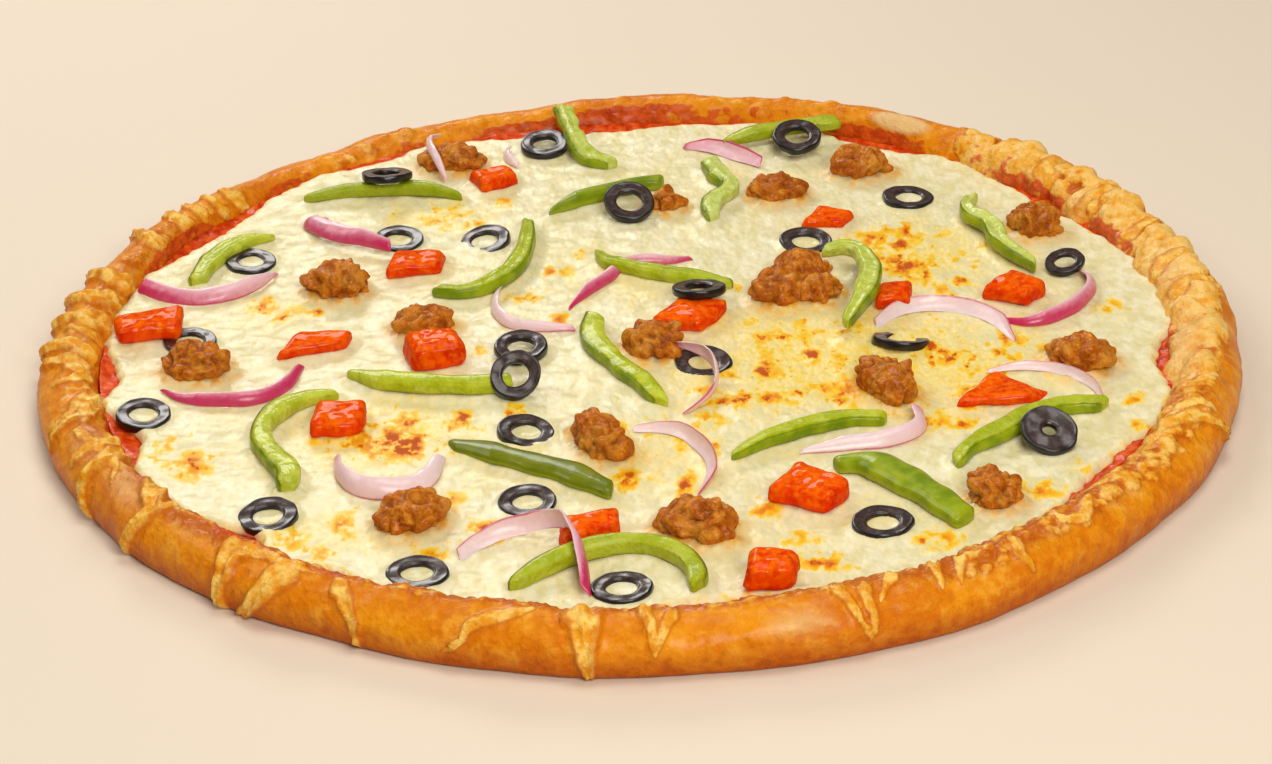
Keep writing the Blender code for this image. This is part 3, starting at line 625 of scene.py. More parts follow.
def sauceFinish():
    material, w = newFinish("tomato sauce")
    pulp = w.noise(0.003, 4.0, 0.6)
    fine = w.noise(0.001, 3.0, 0.6)
    colour = pulp.ramp((0.30, 170, 32, 0), (0.50, 212, 66, 8), (0.68, 232, 104, 34), (0.85, 236, 140, 80))
    body = soft(0.1, (0.004, 0.001, 0.0005), 0.4)
    return connected(material, body, gloss(0.14, 0.12, 0.1, (1.0, 0.7, 0.45)), {
        "Base Color": colour, "Roughness": 0.25 + fine * 0.2,
        "Normal": w.bump(pulp + fine * 0.4, 0.0005, 0.8)})


def makeSauce():
    radii = sauce["rings"]
    radii = [radius for radius in radii if radius < sauce["edge"]] + [sauce["edge"]]
    section = list(zip(radii, sauceHeight(np.array(radii))))
    piece = turned(section + [(radii[-1], sauce["under"]), (radii[0], sauce["under"])], sauce["steps"])
    points = pointsOf(piece)
    top = points[:, 2] > sauce["top"] * mm
    lumps = roughness(points, 5, 4)
    pulp = roughness(points, 2, 5)
    points[:, 2] += top * (0.9 * lumps + 0.5 * pulp + 0.5) * mm
    setPoints(piece, points)
    return finished(piece, "sauce_layer", sauceFinish(), ["sauce"])


# Toppings that are strips: a squared bar of unit length, bent along its run

def bendAlong(piece, places):  # piece runs from x = 0 to 1, its bottom at z = 0
    bpy.ops.object.select_all(action="DESELECT")
    bpy.ops.curve.primitive_bezier_curve_add()
    line = bpy.context.object
    line.data.dimensions = "2D"
    line.data.resolution_u = 24
    spline = line.data.splines[0]
    spline.bezier_points.add(len(places) - len(spline.bezier_points))
    for point, (x, y) in zip(spline.bezier_points, places):
        point.co = (x * mm, y * mm, 0)
        point.handle_left_type = point.handle_right_type = "AUTO"
    line.data.update_tag()
    bpy.context.view_layer.update()
    length = spline.calc_length()
    points = pointsOf(piece)
    points[:, 0] *= length
    setPoints(piece, points)
    applied(piece, "CURVE", object=line, deform_axis="POS_X")
    bpy.data.objects.remove(line, do_unlink=True)


def makeBar(cuts):  # one unit long, one wide and one high, cut across
    bpy.ops.object.select_all(action="DESELECT")
    bpy.ops.mesh.primitive_cube_add(size=1, location=(0.5, 0, 0.5))
    bar = bpy.context.object
    bpy.ops.object.transform_apply(location=True, rotation=True, scale=True)
    run = [corner.co.x for corner in bar.data.vertices]
    pick(bar, "EDGE", lambda edge: run[edge.vertices[0]] != run[edge.vertices[1]])
    bpy.ops.mesh.subdivide(number_cuts=cuts)
    bpy.ops.mesh.select_all(action="SELECT")
    bpy.ops.mesh.subdivide(number_cuts=1)
    leaveEdit()
    smoother(bar, 2)
    return bar


pepper = {
    # Per slice: points along it, width, height, skin side (1 left, -1 right, 0 top, 2 under), how dark,
    # ruffle, size of its first and last end.
    "slices": [
        ([(-22, 155), (-20, 144), (-18, 133), (-13, 123), (-6, 119)], 6, 4.5, -1, -0.5, 1.0, (1.0, 0.8)),
        ([(-104, 100), (-92, 103), (-79, 104), (-65, 103), (-54, 98)], 5, 4.5, 1, 0.65, 0.4, (0.45, 0.4)),
        ([(-113, 73), (-120, 69), (-127, 61), (-131, 51), (-133, 41)], 6.5, 4, -1, -0.1, 0.7, (0.5, 0.9)),
        ([(-60, 30), (-52, 28), (-43, 34), (-36, 46), (-33, 62), (-33, 78)],
         6, 4.5, -1, 0.3, 0.6, (0.8, 0.6)),
        ([(-26, 85), (-18, 91), (-9, 96), (2, 101), (10, 103)], 5, 4.5, 0, 0.75, 0.2, (0.3, 0.9)),
        ([(31, 130), (41, 135), (53, 139), (68, 142)], 6, 4.5, 1, 0.4, 0.3, (0.4, 1.0)),
        ([(25, 119), (27, 109), (31, 97), (25, 87), (25, 76)], 6.5, 4.5, -1, -0.8, 1.2, (0.8, 0.7)),
        ([(-11, 55), (-8, 46), (-1, 41), (9, 36), (19, 32), (28, 27)], 5.5, 4.5, 1, 0.3, 0.3, (0.35, 0.8)),
        ([(57, 39), (65, 40), (70, 29), (69, 13), (61, -10)], 6.5, 5, 1, -0.35, 0.5, (0.6, 0.6)),
        ([(106, 82), (104, 70), (110, 60), (112, 48), (121, 31)], 6, 4.5, -1, -0.6, 1.2, (0.7, 0.7)),
        ([(-84, -22), (-74, -28), (-63, -31), (-52, -33), (-36, -33)], 7, 4.5, 2, 0.1, 0.2, (0.35, 1.0)),
        ([(-12, 9), (-13, -4), (-10, -14), (-4, -26), (2, -36), (6, -46)],
         7, 4.5, -1, 0.0, 0.5, (0.9, 0.6)),
        ([(-86, -35), (-96, -39), (-104, -49), (-106, -61), (-102, -73), (-97, -83), (-97, -90)],
         6.5, 5, -1, -0.1, 0.5, (0.5, 1.0)),
        ([(-53, -67), (-43, -72), (-32, -79), (-20, -86), (-8, -97)], 8.5, 3.5, 0, 1.0, 0.1, (0.45, 0.8)),
        ([(25, -79), (34, -72), (46, -65), (57, -61), (69, -61)], 6, 4.5, -1, 0.1, 0.5, (0.35, 0.85)),
        ([(86, -87), (91, -79), (100, -71), (111, -61), (121, -57), (131, -57)],
         7, 4.5, -1, 0.3, 0.6, (0.6, 0.9)),
        ([(53, -87), (62, -88), (70, -96), (78, -107), (86, -120)], 10, 5, 0, 0.7, 0.1, (0.6, 0.8)),
        ([(-34, -147), (-29, -141), (-21, -134), (-12, -129), (-2, -128), (7, -132), (13, -141), (14, -150)],
         6, 5.5, 1, 0.35, 0.4, (0.7, 0.75)),
    ],
    "firstRise": [(155, 4.0), (144, 3.2), (133, 3.0), (123, 0.0), (119, 0.0)],  # the first lies on the rim
    "squareness": 7,  # 2 would be a round section
    "cuts": 39,
    "grip": (1.0, 2.1, 0),  # mm that the cheese climbs on it, over how far, and how oily it is
}


def pepperFinish():
    material, w = newFinish("green pepper")
    skin = w.attribute("skin")
    dark = w.attribute("dark")
    fine = w.noise(0.0016, 3.0, 0.55)
    broad = w.noise(0.006, 2.0, 0.5)
    streak = w.noise(0.0035, 3.0, 0.6)
    flesh = broad.step(0.35, 0.7).mix(paint(170, 180, 8), paint(198, 204, 50))
    flesh = layered(
        flesh, (streak.step(0.48, 0.72) * (1 - dark).clamp() * 0.7, 208, 214, 96),
        ((dark * -1.0 * (0.7 + (streak - 0.5) * 2)).clamp(), 208, 218, 132),
        ((dark * 0.9).clamp(), 128, 144, 8))
    green = broad.step(0.3, 0.7).mix(paint(114, 138, 4), paint(158, 172, 20))
    green = (dark.step(0.6, 1.0) * 0.7).mix(green, paint(96, 98, 6))
    colour = (skin + (fine - 0.5) * 0.5).step(0.3, 0.75).mix(flesh, green)
    return connected(material, soft(0.15, (0.002, 0.003, 0.0005), 0.5), gloss(0.3, 0.14, 0.08), {
        "Base Color": colour, "Roughness": 0.24 + fine * 0.22,
        "Normal": w.bump((fine + streak * 1.5) * (1.2 - skin), 0.0007, 0.8)})


def makePeppers():
    finish = pepperFinish()
    bar = makeBar(pepper["cuts"])
    base = pointsOf(bar)
    pieces = []
    for number, (places, width, height, side, dark, ruffle, (first, last)) in enumerate(pepper["slices"], 1):
        piece = copyOf(bar)
        node = f"pepper_{number:02}"
        points = base.copy()
        x, y, z = base[:, 0], base[:, 1] * 2, base[:, 2] * 2 - 1
        power = pepper["squareness"]
        away = (np.abs(y) ** power + np.abs(z) ** power) ** (1 / power)
        corner = np.maximum(np.abs(y), np.abs(z)) / np.maximum(1e-6, away)
        y, z = y * corner, z * corner
        end = 0.6 + 0.4 * np.sqrt(np.clip(np.minimum(x, 1 - x) / 0.03, 0, 1))
        end *= np.interp(x, [0, 0.25, 0.75, 1], [first, 1, 1, last])
        points[:, 0] = x + 0.03 * math.sin(number * 1.7) * y  # cut a little askew
        swell = 1 + 0.10 * np.sin(x * 9 + number) + 0.06 * np.sin(x * 23 + number * 2)
        ridge = np.where(z > 0.2, 0.07 * np.cos(y * 5 + number) * ruffle, 0)
        bulge = 0.16 if side in (0, 2) else -0.12  # a slice that lies on its side is hollow on top
        crown = np.where(z > 0, bulge * (1 - y * y), 0)
        points[:, 1] = y * end * swell * width / 2 * mm
        points[:, 2] = ((z + 1) * end ** 0.6 * (1 + ridge) + crown) * height / 2 * mm
        setPoints(piece, points)
        if side == 0:
            skin = np.clip(z * 1.2 + 0.5, 0, 1)
        elif side == 2:
            skin = np.clip(-z - 0.3, 0, 1)
        else:
            skin = np.clip((y * side - 0.62) * 4, 0, 1)
        bendAlong(piece, places)
        points = pointsOf(piece)
        low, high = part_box(node)
        wobble = roughness(points, 6, number)
        small = roughness(points, 2.2, number + 40)
        points[:, 2] += low.z
        if number == 1:
            ys, rises = zip(*sorted(pepper["firstRise"]))
            points[:, 2] += np.interp(points[:, 1] / mm, ys, rises) * mm
        lifted = np.clip((points[:, 2] - low.z) / (height * mm), 0, 1)
        points[:, 2] += (0.45 * wobble + 0.22 * small) * ruffle * lifted * mm
        stray(points, 0, 0.5 * ruffle, 8, number + 80)
        stray(points, 1, 0.5 * ruffle, 8, number + 90)
        setPoints(piece, points)
        setMasks(piece, skin=skin, dark=np.full(len(points), dark))
        pieces.append(finished(piece, f"pepper_slice_{number:02}", finish, [node]))
    bpy.data.objects.remove(bar, do_unlink=True)
    return pieces


onion = {
    # Per slice: points along it, width of the band, outside of the bend (1 left, -1 right), lean to the
    # inside at its first and last end in degrees, how strong the colour at each end, how wide its first
    # and last end, how high it is lifted along it.
    "slices": [
        ([(-63, 143), (-66, 134), (-65, 124), (-60, 112)],
         3.4, -1, (35, 35), (0.45, 0.45), 0.6, 0.4, (2.5, 5.5, 5.5, 1)),
        ([(-37, 123), (-41, 130), (-40, 138)], 3.5, 1, (30, 30), (0.3, 0.3), 0.4, 0.4, (0, 0)),
        ([(17, 134), (24, 131), (32, 125), (41, 118)], 5.6, 1, (-35, -45), (0.85, 0.7), 0.3, 0.7, (0, 0)),
        ([(-96, 88), (-103, 84), (-100, 75), (-92, 67), (-83, 63), (-75, 60)],
         6.4, -1, (60, 35), (0.7, 0.8), 0.3, 0.6, (0, 0.5, 1.5, 2, 1)),
        ([(-151, 38), (-140, 31), (-127, 30), (-116, 37), (-109, 49)],
         5.8, -1, (50, 40), (0.85, 0.45), 0.9, 0.2, (0, 0)),
        ([(-20, 18), (-15, 26), (-6, 38), (-1, 45), (9, 47), (18, 50)],
         4.2, -1, (40, 50), (0.9, 0.65), 0.2, 0.4, (0, 0)),
        ([(-40, 37), (-43, 26), (-41, 12), (-36, 6), (-27, 4), (-18, 4)],
         4.0, -1, (25, 45), (0.35, 0.45), 0.4, 0.5, (0, 0)),
        ([(-138, -26), (-131, -34), (-120, -37), (-109, -36), (-101, -29), (-97, -14)],
         4.6, -1, (50, 40), (0.8, 0.95), 0.2, 0.5, (0, 0)),
        ([(-85, -72), (-83, -84), (-76, -93), (-66, -94), (-58, -89), (-54, -73)],
         6.5, -1, (25, 55), (0.6, 0.15), 0.5, 0.5, (0, 0)),
        ([(11, -12), (19, -20), (22, -31), (20, -41), (12, -50)],
         4.6, 1, (20, -35), (0.7, 0.35), 0.4, 0.2, (2, 2.4, 0.5, 0)),
        ([(-2, -60), (8, -62), (15, -71), (18, -83), (15, -97)],
         5.0, 1, (-35, -35), (0.1, 0.6), 0.4, 0.2, (0, 0)),
        ([(44, -76), (58, -75), (70, -73), (79, -66), (80, -54)],
         5.5, -1, (55, 45), (0.15, 0.6), 0.2, 0.9, (0, 0)),
        ([(71, 0), (81, 9), (93, 9), (102, 3), (110, -12)],
         5.5, 1, (-45, -50), (0.05, 0.45), 0.6, 0.2, (0, 0)),
        ([(107, 1), (117, -2), (127, 3), (135, 13), (138, 24), (134, 35)],
         5.0, -1, (45, 30), (0.95, 0.65), 0.3, 0.4, (0, 0)),
        ([(100, -31), (112, -30), (121, -33), (128, -41), (131, -51)],
         3.4, 1, (-45, -30), (0.3, 0.1), 0.3, 0.3, (0, 0)),
        ([(-48, -129), (-42, -122), (-33, -118), (-24, -119), (-18, -127), (-15, -138), (-14, -151)],
         6.0, 1, (-50, 50), (0.1, 1), 0.6, 0.6, (0, 0, 1, 4.4, 4.4, 2.5, 0.5)),
    ],
    "thick": 0.75,
    "cuts": 29,
    "lift": 0.15,
}


def onionFinish():
    material, w = newFinish("red onion")
    outer = w.attribute("outer")
    strong = w.attribute("strong")
    fine = w.noise(0.0022, 3.0, 0.55)
    pale = (strong ** 2).mix(paint(236, 208, 206), paint(232, 156, 176))
    pale = (fine.step(0.45, 0.7) * 0.35).mix(pale, paint(246, 230, 222))
    magenta = (strong + (fine - 0.5) * 0.4).clamp().mix(paint(206, 116, 146), paint(194, 36, 88))
    colour = (outer * (0.5 + strong * 0.8) + (fine - 0.5) * 0.4).step(0.25, 0.85).mix(pale, magenta)
    return connected(material, soft(0.35, (0.003, 0.002, 0.002), 0.6), gloss(0.35, 0.15, 0.35), {
        "Base Color": colour, "Roughness": 0.25 + fine * 0.2, "Normal": w.bump(fine, 0.0002, 0.5)})


def cheeseWave(x, y):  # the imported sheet's top, in mm
    radius = np.hypot(x, y)
    wave = np.array([noise.noise(Vector((a, b, 0)) / 28) for a, b in zip(x, y)])
    return 9.8 + 0.4 * wave + 0.5 * np.maximum(0, (radius - 140) / 16)


def makeOnions():
    finish = onionFinish()
    bar = makeBar(onion["cuts"])
    base = pointsOf(bar)
    for number, (places, width, side, lean, strong, first, last, lifts) in enumerate(onion["slices"], 1):
        piece = copyOf(bar)
        points = base.copy()
        x, y, z = base[:, 0], base[:, 1] * 2 * side, base[:, 2]
        taper = np.interp(x, [0, 0.25, 0.5, 0.78, 1], [first, 0.9, 1, 0.9, last])
        taper *= np.sqrt(np.clip(np.minimum(x, 1 - x) / 0.02, 0.2, 1))
        cup = 0.16 * width * (1 - (2 * z - 1) ** 2)  # the band bulges to its outer side
        across = y * onion["thick"] / 2 * (0.6 + 0.4 * taper) + cup * taper
        up = z * width * taper
        tilt = np.radians(lean[0] + (lean[1] - lean[0]) * x + 8 * np.sin(x * 7 + number))
        points[:, 1] = side * (across * np.cos(tilt) - up * np.sin(tilt)) * mm
        points[:, 2] = (across * np.sin(tilt) + up * np.cos(tilt)) * mm
        setPoints(piece, points)
        bendAlong(piece, places)
        points = pointsOf(piece)
        lifted = np.interp(x, np.linspace(0, 1, len(lifts)), lifts)
        points[:, 2] += (cheeseWave(points[:, 0] / mm, points[:, 1] / mm) + onion["lift"] + lifted) * mm
        stray(points, 2, 0.35, 12, number + 20)
        setPoints(piece, points)
        strength = strong[0] + (strong[1] - strong[0]) * x
        strength = strength + 0.25 * np.abs(2 * x - 1) ** 6
        band = np.clip(y * 1.5, 0, 1) * np.interp(z, [0, 0.3, 0.8, 1], [1, 0.9, 0.6, 0.3])
        opened = np.clip(-tilt * 3, 0, 1)  # a band that opens up shows its thin coloured edge at the top
        rind = np.clip(1 - z / 0.15, 0, 1) * (1 - opened) + np.clip((z - 0.80) / 0.14, 0, 1) * opened
        through = np.clip((strength - 0.8) * 2, 0, 0.5)
        setMasks(piece, outer=np.max([band * strength, rind, through], axis=0), strong=strength)
        finished(piece, f"onion_slice_{number:02}", finish)
    bpy.data.objects.remove(bar, do_unlink=True)


# Olives

olive = {
    "radius": 8.1,
    "hole": 4.2,
    "height": 2.8,
    # Sunk rings: x, y, tilt to the front and to the side in degrees.
    "sunk": [
        (-73, 70, 4, 0), (-118, 57, 0, 3), (-46, 67, 8, -8), (87, 89, 0, 4), (53, 59, 6, 0),
        (-132, 4, 0, 0), (-141, -42, 4, 3), (-101, -103, 7, -3), (-59.5, -136.5, 4, 0), (19, -20, 8, 0),
        (-32, -59, 6, 5), (-31, -99, 5, 0), (-6, -147, 0, 0), (64, -117, 3, 0), (77, -10, -16, 6),
    ],
    # Loose rings: tilt to the front and to the side, and size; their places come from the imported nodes.
    "loose": [
        (6, 0, 1), (6, 4, 1), (12, -6, 0.75), (-14, 0, 1), (22, 4, 1), (13, 0, 1), (35, 0, 0.94),
        (-12, 0, 1), (24, 6, 1),
    ],
    "smallHole": 9,  # the ring cut near the end of its olive
    "insets": (0.25, 0.5, 0.25),  # shares of the cut face, narrow next to its edges
    "bevel": 0.8,
    "skin": 7.0,  # the cut face ends at this radius
    "sides": 40,
    "grip": (0.6, 1.4, 0),
}


def oliveFinish():
    material, w = newFinish("black olive")
    cut = w.attribute("cut")
    fine = w.noise(0.0012, 3.0, 0.6)
    flesh = fine.step(0.35, 0.7).mix(paint(38, 22, 18), paint(70, 46, 38))
    colour = cut.step(0.3, 0.8).mix(paint(16, 12, 14), flesh)
    return connected(material, gloss(0.3, 0.12, 0.4), {
        "Base Color": colour, "Roughness": 0.22 + fine * 0.2, "Normal": w.bump(fine, 0.00015, 0.5)})


def makeRing(hole):  # a cylinder, its ends inset and bridged through
    bpy.ops.object.select_all(action="DESELECT")
    bpy.ops.mesh.primitive_cylinder_add(
        vertices=olive["sides"], radius=olive["radius"] * mm, depth=olive["height"] * mm)
    ring = bpy.context.object
    pick(ring, "FACE", lambda face: abs(face.normal.z) > 0.5)
    for share in olive["insets"]:
        bpy.ops.mesh.inset(thickness=(olive["radius"] - hole) * share * mm, use_boundary=True)
    bpy.ops.mesh.bridge_edge_loops()
    leaveEdit()
    applied(ring, "BEVEL", width=olive["bevel"] * mm, segments=3, limit_method="ANGLE",
            angle_limit=math.radians(40))
    smoother(ring, 1)
    return ring


def makeOlives():
    finish = oliveFinish()
    wide = makeRing(olive["hole"])
    narrow = makeRing(olive["hole"] * 0.5)
    rows = []
    for number, (front, side, size) in enumerate(olive["loose"], 1):
        node = f"olive_{number:02}"
        low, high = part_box(node)
        rows.append(((low + high) / 2, front, side, size, [node]))
    for x, y, front, side in olive["sunk"]:
        z = cheeseWave(np.array([x]), np.array([y]))[0] + 0.5
        rows.append((Vector((x, y, z)) * mm, front, side, 1, []))
    pieces = []
    for number, (place, front, side, size, nodes) in enumerate(rows, 1):
        piece = copyOf(narrow if number == olive["smallHole"] else wide)
        points = pointsOf(piece)
        rim = np.clip((polar(points)[0] - olive["skin"]) / 0.8, 0, 1)
        cut = (1 - rim) * (np.abs(points[:, 2]) > 0.9 * mm)
        spread = 1 + 0.05 * roughness(points, 5, number)
        stretch = 1 + 0.05 * math.sin(number * 2.4)
        points[:, 0] *= stretch
        points[:, 1] /= stretch
        points[:, :2] *= spread[:, None]
        points[:, 2] *= 1 + 0.18 * roughness(points, 4, number + 30)
        points[:, 2] -= cut * np.sign(points[:, 2]) * 0.25 * mm
        setPoints(piece, points)
        setMasks(piece, cut=cut)
        lean = Matrix.Rotation(math.radians(front), 4, "X") @ Matrix.Rotation(math.radians(side), 4, "Y")
        spin = Matrix.Rotation(number * 1.3, 4, "Z")
        piece.data.transform(Matrix.Translation(place) @ lean @ spin @ Matrix.Scale(size, 4))
        pieces.append(finished(piece, f"olive_ring_{number:02}", finish, nodes))
    for ring in (wide, narrow):
        bpy.data.objects.remove(ring, do_unlink=True)
    return pieces


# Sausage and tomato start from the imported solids

sausage = {"count": 16, "grain": 0.55, "grip": (1.5, 2.3, 1)}


def sausageFinish():
    material, w = newFinish("sausage")
    pit = w.attribute("pit")
    crumbs = w.noise(0.0030, 4.0, 0.62)
    fine = w.noise(0.0010, 3.0, 0.6)
    colour = (crumbs * 0.65 + fine * 0.35).ramp(
        (0.32, 138, 62, 0), (0.45, 178, 88, 8), (0.56, 204, 120, 22), (0.70, 232, 164, 70))
    broad = w.noise(0.009, 2.0, 0.5)
    colour = layered(
        colour, (broad.step(0.48, 0.66) * 0.5, 216, 150, 50), (broad.step(0.46, 0.30) * 0.5, 142, 66, 6),
        # painted shade in the pits
        ((pit * 0.8).clamp(), 104, 40, 0))
    body = soft(0.05, (0.003, 0.0012, 0.0006), 0.5)
    return connected(material, body, gloss(0.2, 0.15, 0.12, (1.0, 0.75, 0.45)), {
        "Base Color": colour, "Roughness": 0.42 + fine * 0.25,
        "Normal": w.bump(crumbs + fine * 0.7, 0.0009, 0.9)})


def makeSausages():
    finish = sausageFinish()
    pieces = []
    for number in range(1, sausage["count"] + 1):
        node = f"sausage_{number:02}"
        piece = softened(node, sausage["grain"])
        points = pointsOf(piece)
        normals = normalsOf(piece)
        coarse = roughness(points, 5, number)
        mid = roughness(points, 4.2, number + 11)
        small = roughness(points, 1.4, number + 23)
        push = 1.6 * coarse + 2.6 * np.abs(mid) + 0.35 * small - 0.5
        points += normals * (push * mm)[:, None]
        stray(points, 0, 1.3, 12, number + 31)
        stray(points, 1, 1.3, 12, number + 37)
        low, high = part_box(node)
        tall = (high.z - low.z + 0.8 * mm) / (points[:, 2].max() - low.z)
        points[:, 2] = low.z + (points[:, 2] - low.z) * min(1, tall)
        setPoints(piece, points)
        # painted shade: the sunk places of the surface are darkened
        setMasks(piece, pit=np.clip(0.45 - 0.6 * coarse - 2.4 * np.abs(mid) - 0.6 * small, 0, 1))
        pieces.append(finished(piece, f"sausage_nugget_{number:02}", finish, [node]))
    return pieces


tomato = {
    # Per piece: turn in degrees, size, depth from front to back, skew to the right towards the back.
    "dice": [
        (38, 0.85, 1.15, 0), (0, 1, 1.25, 0.2), (0, 1, 1.1, 0.1), (0, 0.95, 1.2, 0.55), (0, 1, 1.1, -0.15),
        (0, 1, 1.35, 0.1), (-8, 1, 1.6, 0.35), (0, 0.95, 1.3, 0.4), (0, 1, 1.15, 0.15), (-22, 0.9, 1.35, 0.2),
        (-10, 1, 1.75, 0.45), (0, 1, 1.3, 0.15), (15, 0.95, 1.35, 0.3), (8, 1.05, 1.15, 0.15),
    ],
    "roughness": 0.8,
    "grain": 0.6,
    "grip": (1.0, 1.9, 0.15),
}


def tomatoFinish():
    material, w = newFinish("diced tomato")
    upper = w.attribute("upper")
    broad = w.noise(0.006, 2.0, 0.5)
    fine = w.noise(0.002, 3.0, 0.6)
    colour = broad.step(0.3, 0.7).mix(paint(216, 38, 0), paint(238, 76, 0))
    # painted highlight: a light orange laid on in flecks and on the faces that look up
    colour = ((fine - 0.5) * 2.6 + upper * 0.35).clamp().mix(colour, paint(248, 122, 10))
    return connected(material, soft(0.08, (0.004, 0.0008, 0.0002), 0.5), gloss(0.22, 0.05, 0.0), {
        "Base Color": colour, "Roughness": 0.3 + fine * 0.14,
        "Normal": w.bump(fine * upper * 0.6 + broad, 0.0011, 0.8)})


def makeTomatoes():
    finish = tomatoFinish()
    pieces = []
    for number, (turn, size, deep, skew) in enumerate(tomato["dice"], 1):
        node = f"tomato_{number:02}"
        piece = softened(node, tomato["grain"])
        points = pointsOf(piece)
        low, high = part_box(node)
        middle = np.array((low + high) / 2)[:2]
        x, y = (points[:, :2] - middle).T * size
        y = y * deep
        x = x + skew * y
        c, s = math.cos(math.radians(turn)), math.sin(math.radians(turn))
        points[:, 0] = middle[0] + x * c - y * s
        points[:, 1] = middle[1] + x * s + y * c
        setPoints(piece, points)
        normals = normalsOf(piece)
        lumps = roughness(points, 7, number)
        small = roughness(points, 2.6, number + 9)
        points += normals * ((tomato["roughness"] * lumps + 0.2 * small * normals[:, 2]) * mm)[:, None]
        setPoints(piece, points)
        # how much each face looks up, which places the painted highlight and the skin's bump
        setMasks(piece, upper=np.clip(normals[:, 2], 0, 1))
        pieces.append(finished(piece, f"tomato_dice_{number:02}", finish, [node]))
    return pieces


# Cheese

cheese = {
    "cuts": 300,
    "edge": 158.6,
    "even": 0.85,  # the share of the radius inside which the rings stay round
    "thick": 1.6,
    "surface": 10.9,  # points of a topping below this height touch the cheese
    "oilReach": 4.0,
    "wander": 2.2,
    # Noise: how many mm, size of its lumps, seed. The first moves the edge in and out, the second the top.
    "ragged": [(1.5, 9, 5), (0.9, 3.5, 6)],
    "waves": [(0.34, 9, 7), (0.22, 4.5, 8), (0.10, 2.1, 9)],
    "bare": [  # degrees, half width, how far the cheese draws back
        (185, 8, 5), (200, 8, 6), (148, 14, 5), (226, 6, 5), (238, 5, 3), (277, 11, 3),
        (325, 13, 4), (352, 9, 5), (32, 19, 4), (60, 11, 4), (96, 22, 6), (122, 8, 3),
    ],
    # Browned places: x, y, half length, half width, turn in degrees, strength.
    "toast": [
        (-70, -62, 13, 7, -15, 1.15), (-66, -50, 5, 5, 0, 0.9), (-50, -50, 5, 4, 0, 1.15),
        (-35, -45, 5, 3, 0, 0.9), (-80, -60, 6, 3, 10, 0.7), (37, -18, 3, 3, 0, 0.9),
        (36, -25, 4, 3, 0, 0.8), (50, -17, 4, 3, 0, 0.9), (58, -20, 3, 3, 0, 0.8),
        (25, -27, 3, 3, 0, 0.9), (28, -43, 12, 3, 6, 0.95), (45, -38, 6, 3, 20, 0.85),
        (12, -62, 4, 3, 0, 1.0), (20, -70, 3, 3, 0, 0.8), (85, -13, 3, 2.5, 0, 1.3),
        (88, -20, 8, 4, -10, 0.85), (105, -18, 3, 2, 0, 1.1), (95, -28, 4, 3, 0, 1.0),
        (95, -43, 3, 3, 0, 1.0), (95, -50, 4, 3, 0, 0.9), (90, -60, 5, 3, 0, 0.9),
        (82, -58, 5, 4, 0, 1.0), (140, -50, 4, 3, 0, 0.85), (138, -66, 5, 3, -20, 0.95),
        (-4, -87, 5, 4, 0, 1.1), (12, -92, 4, 4, 0, 1.0), (33, -106, 5, 4, 0, 0.95),
        (42, -122, 5, 3, 0, 0.8), (47, -136, 9, 4, -12, 0.9), (78, -126, 7, 4, 0, 0.85),
        (108, -100, 8, 4, -20, 0.8), (-42, -113, 7, 5, 0, 0.85), (-52, -95, 5, 4, 0, 0.7),
        (-80, -108, 4, 5, 0, 0.9), (-95, -115, 6, 4, 0, 0.75), (-85, -122, 5, 4, 0, 0.7),
        (-56, -125, 5, 4, 0, 0.7), (-125, -72, 9, 6, 30, 0.72), (-132, -60, 7, 5, 0, 0.6),
        (85, 66, 4, 3, 0, 0.95), (78, 60, 14, 7, 10, 0.6), (82, 44, 11, 6, 0, 0.8),
        (88, 37, 5, 3, 0, 0.9), (98, 30, 4, 3, 0, 0.8), (93, 22, 4, 4, 0, 0.8), (30, 30, 4, 3, 0, 0.6),
        (-34, 28, 6, 3, 0, 0.95), (-25, 44, 6, 3, 0, 0.85), (-16, 58, 4, 3, 0, 0.8),
        (-23, 12, 3, 3, 0, 0.95), (-104, 20, 4, 3, 0, 0.9), (-112, 28, 6, 4, 0, 0.75),
        (-96, 22, 3, 2, 0, 0.8), (-60, 88, 9, 5, 20, 0.75), (-50, 80, 5, 3, 0, 0.7),
        (-40, 96, 5, 3, 0, 0.7), (140, 8, 6, 4, -30, 0.7), (-46, -7, 3, 3, 0, 0.6),
        (60, -36, 9, 5, 0, 0.75), (18, -55, 8, 4, 0, 0.65), (40, -5, 9, 7, 0, 0.65),
        (20, -38, 6, 4, 0, 0.7), (64, 2, 7, 5, 0, 0.55), (72, -30, 9, 6, 0, 0.7),
        (110, -10, 7, 5, 0, 0.65), (120, -88, 4, 3, 0, 0.6), (-6, -58, 5, 4, 0, 0.6),
    ],
    # Wide yellowed stretches: x, y, half length, half width, strength.
    "yellow": [
        (65, -20, 62, 45, 1.0), (85, 50, 40, 32, 0.7), (0, -75, 60, 40, 0.5), (-70, -60, 45, 28, 0.8),
        (-60, 85, 40, 22, 0.5), (-110, 25, 30, 18, 0.6), (-85, -112, 34, 18, 0.6),
        (60, -120, 50, 24, 0.4), (-128, -66, 24, 16, 0.5), (10, 110, 60, 22, 0.35),
        (-15, 40, 50, 40, 0.4),
    ],
}


def bareEdge(angle):
    return np.max([depth * hump(angle, middle, half) for middle, half, depth in cheese["bare"]], axis=0)


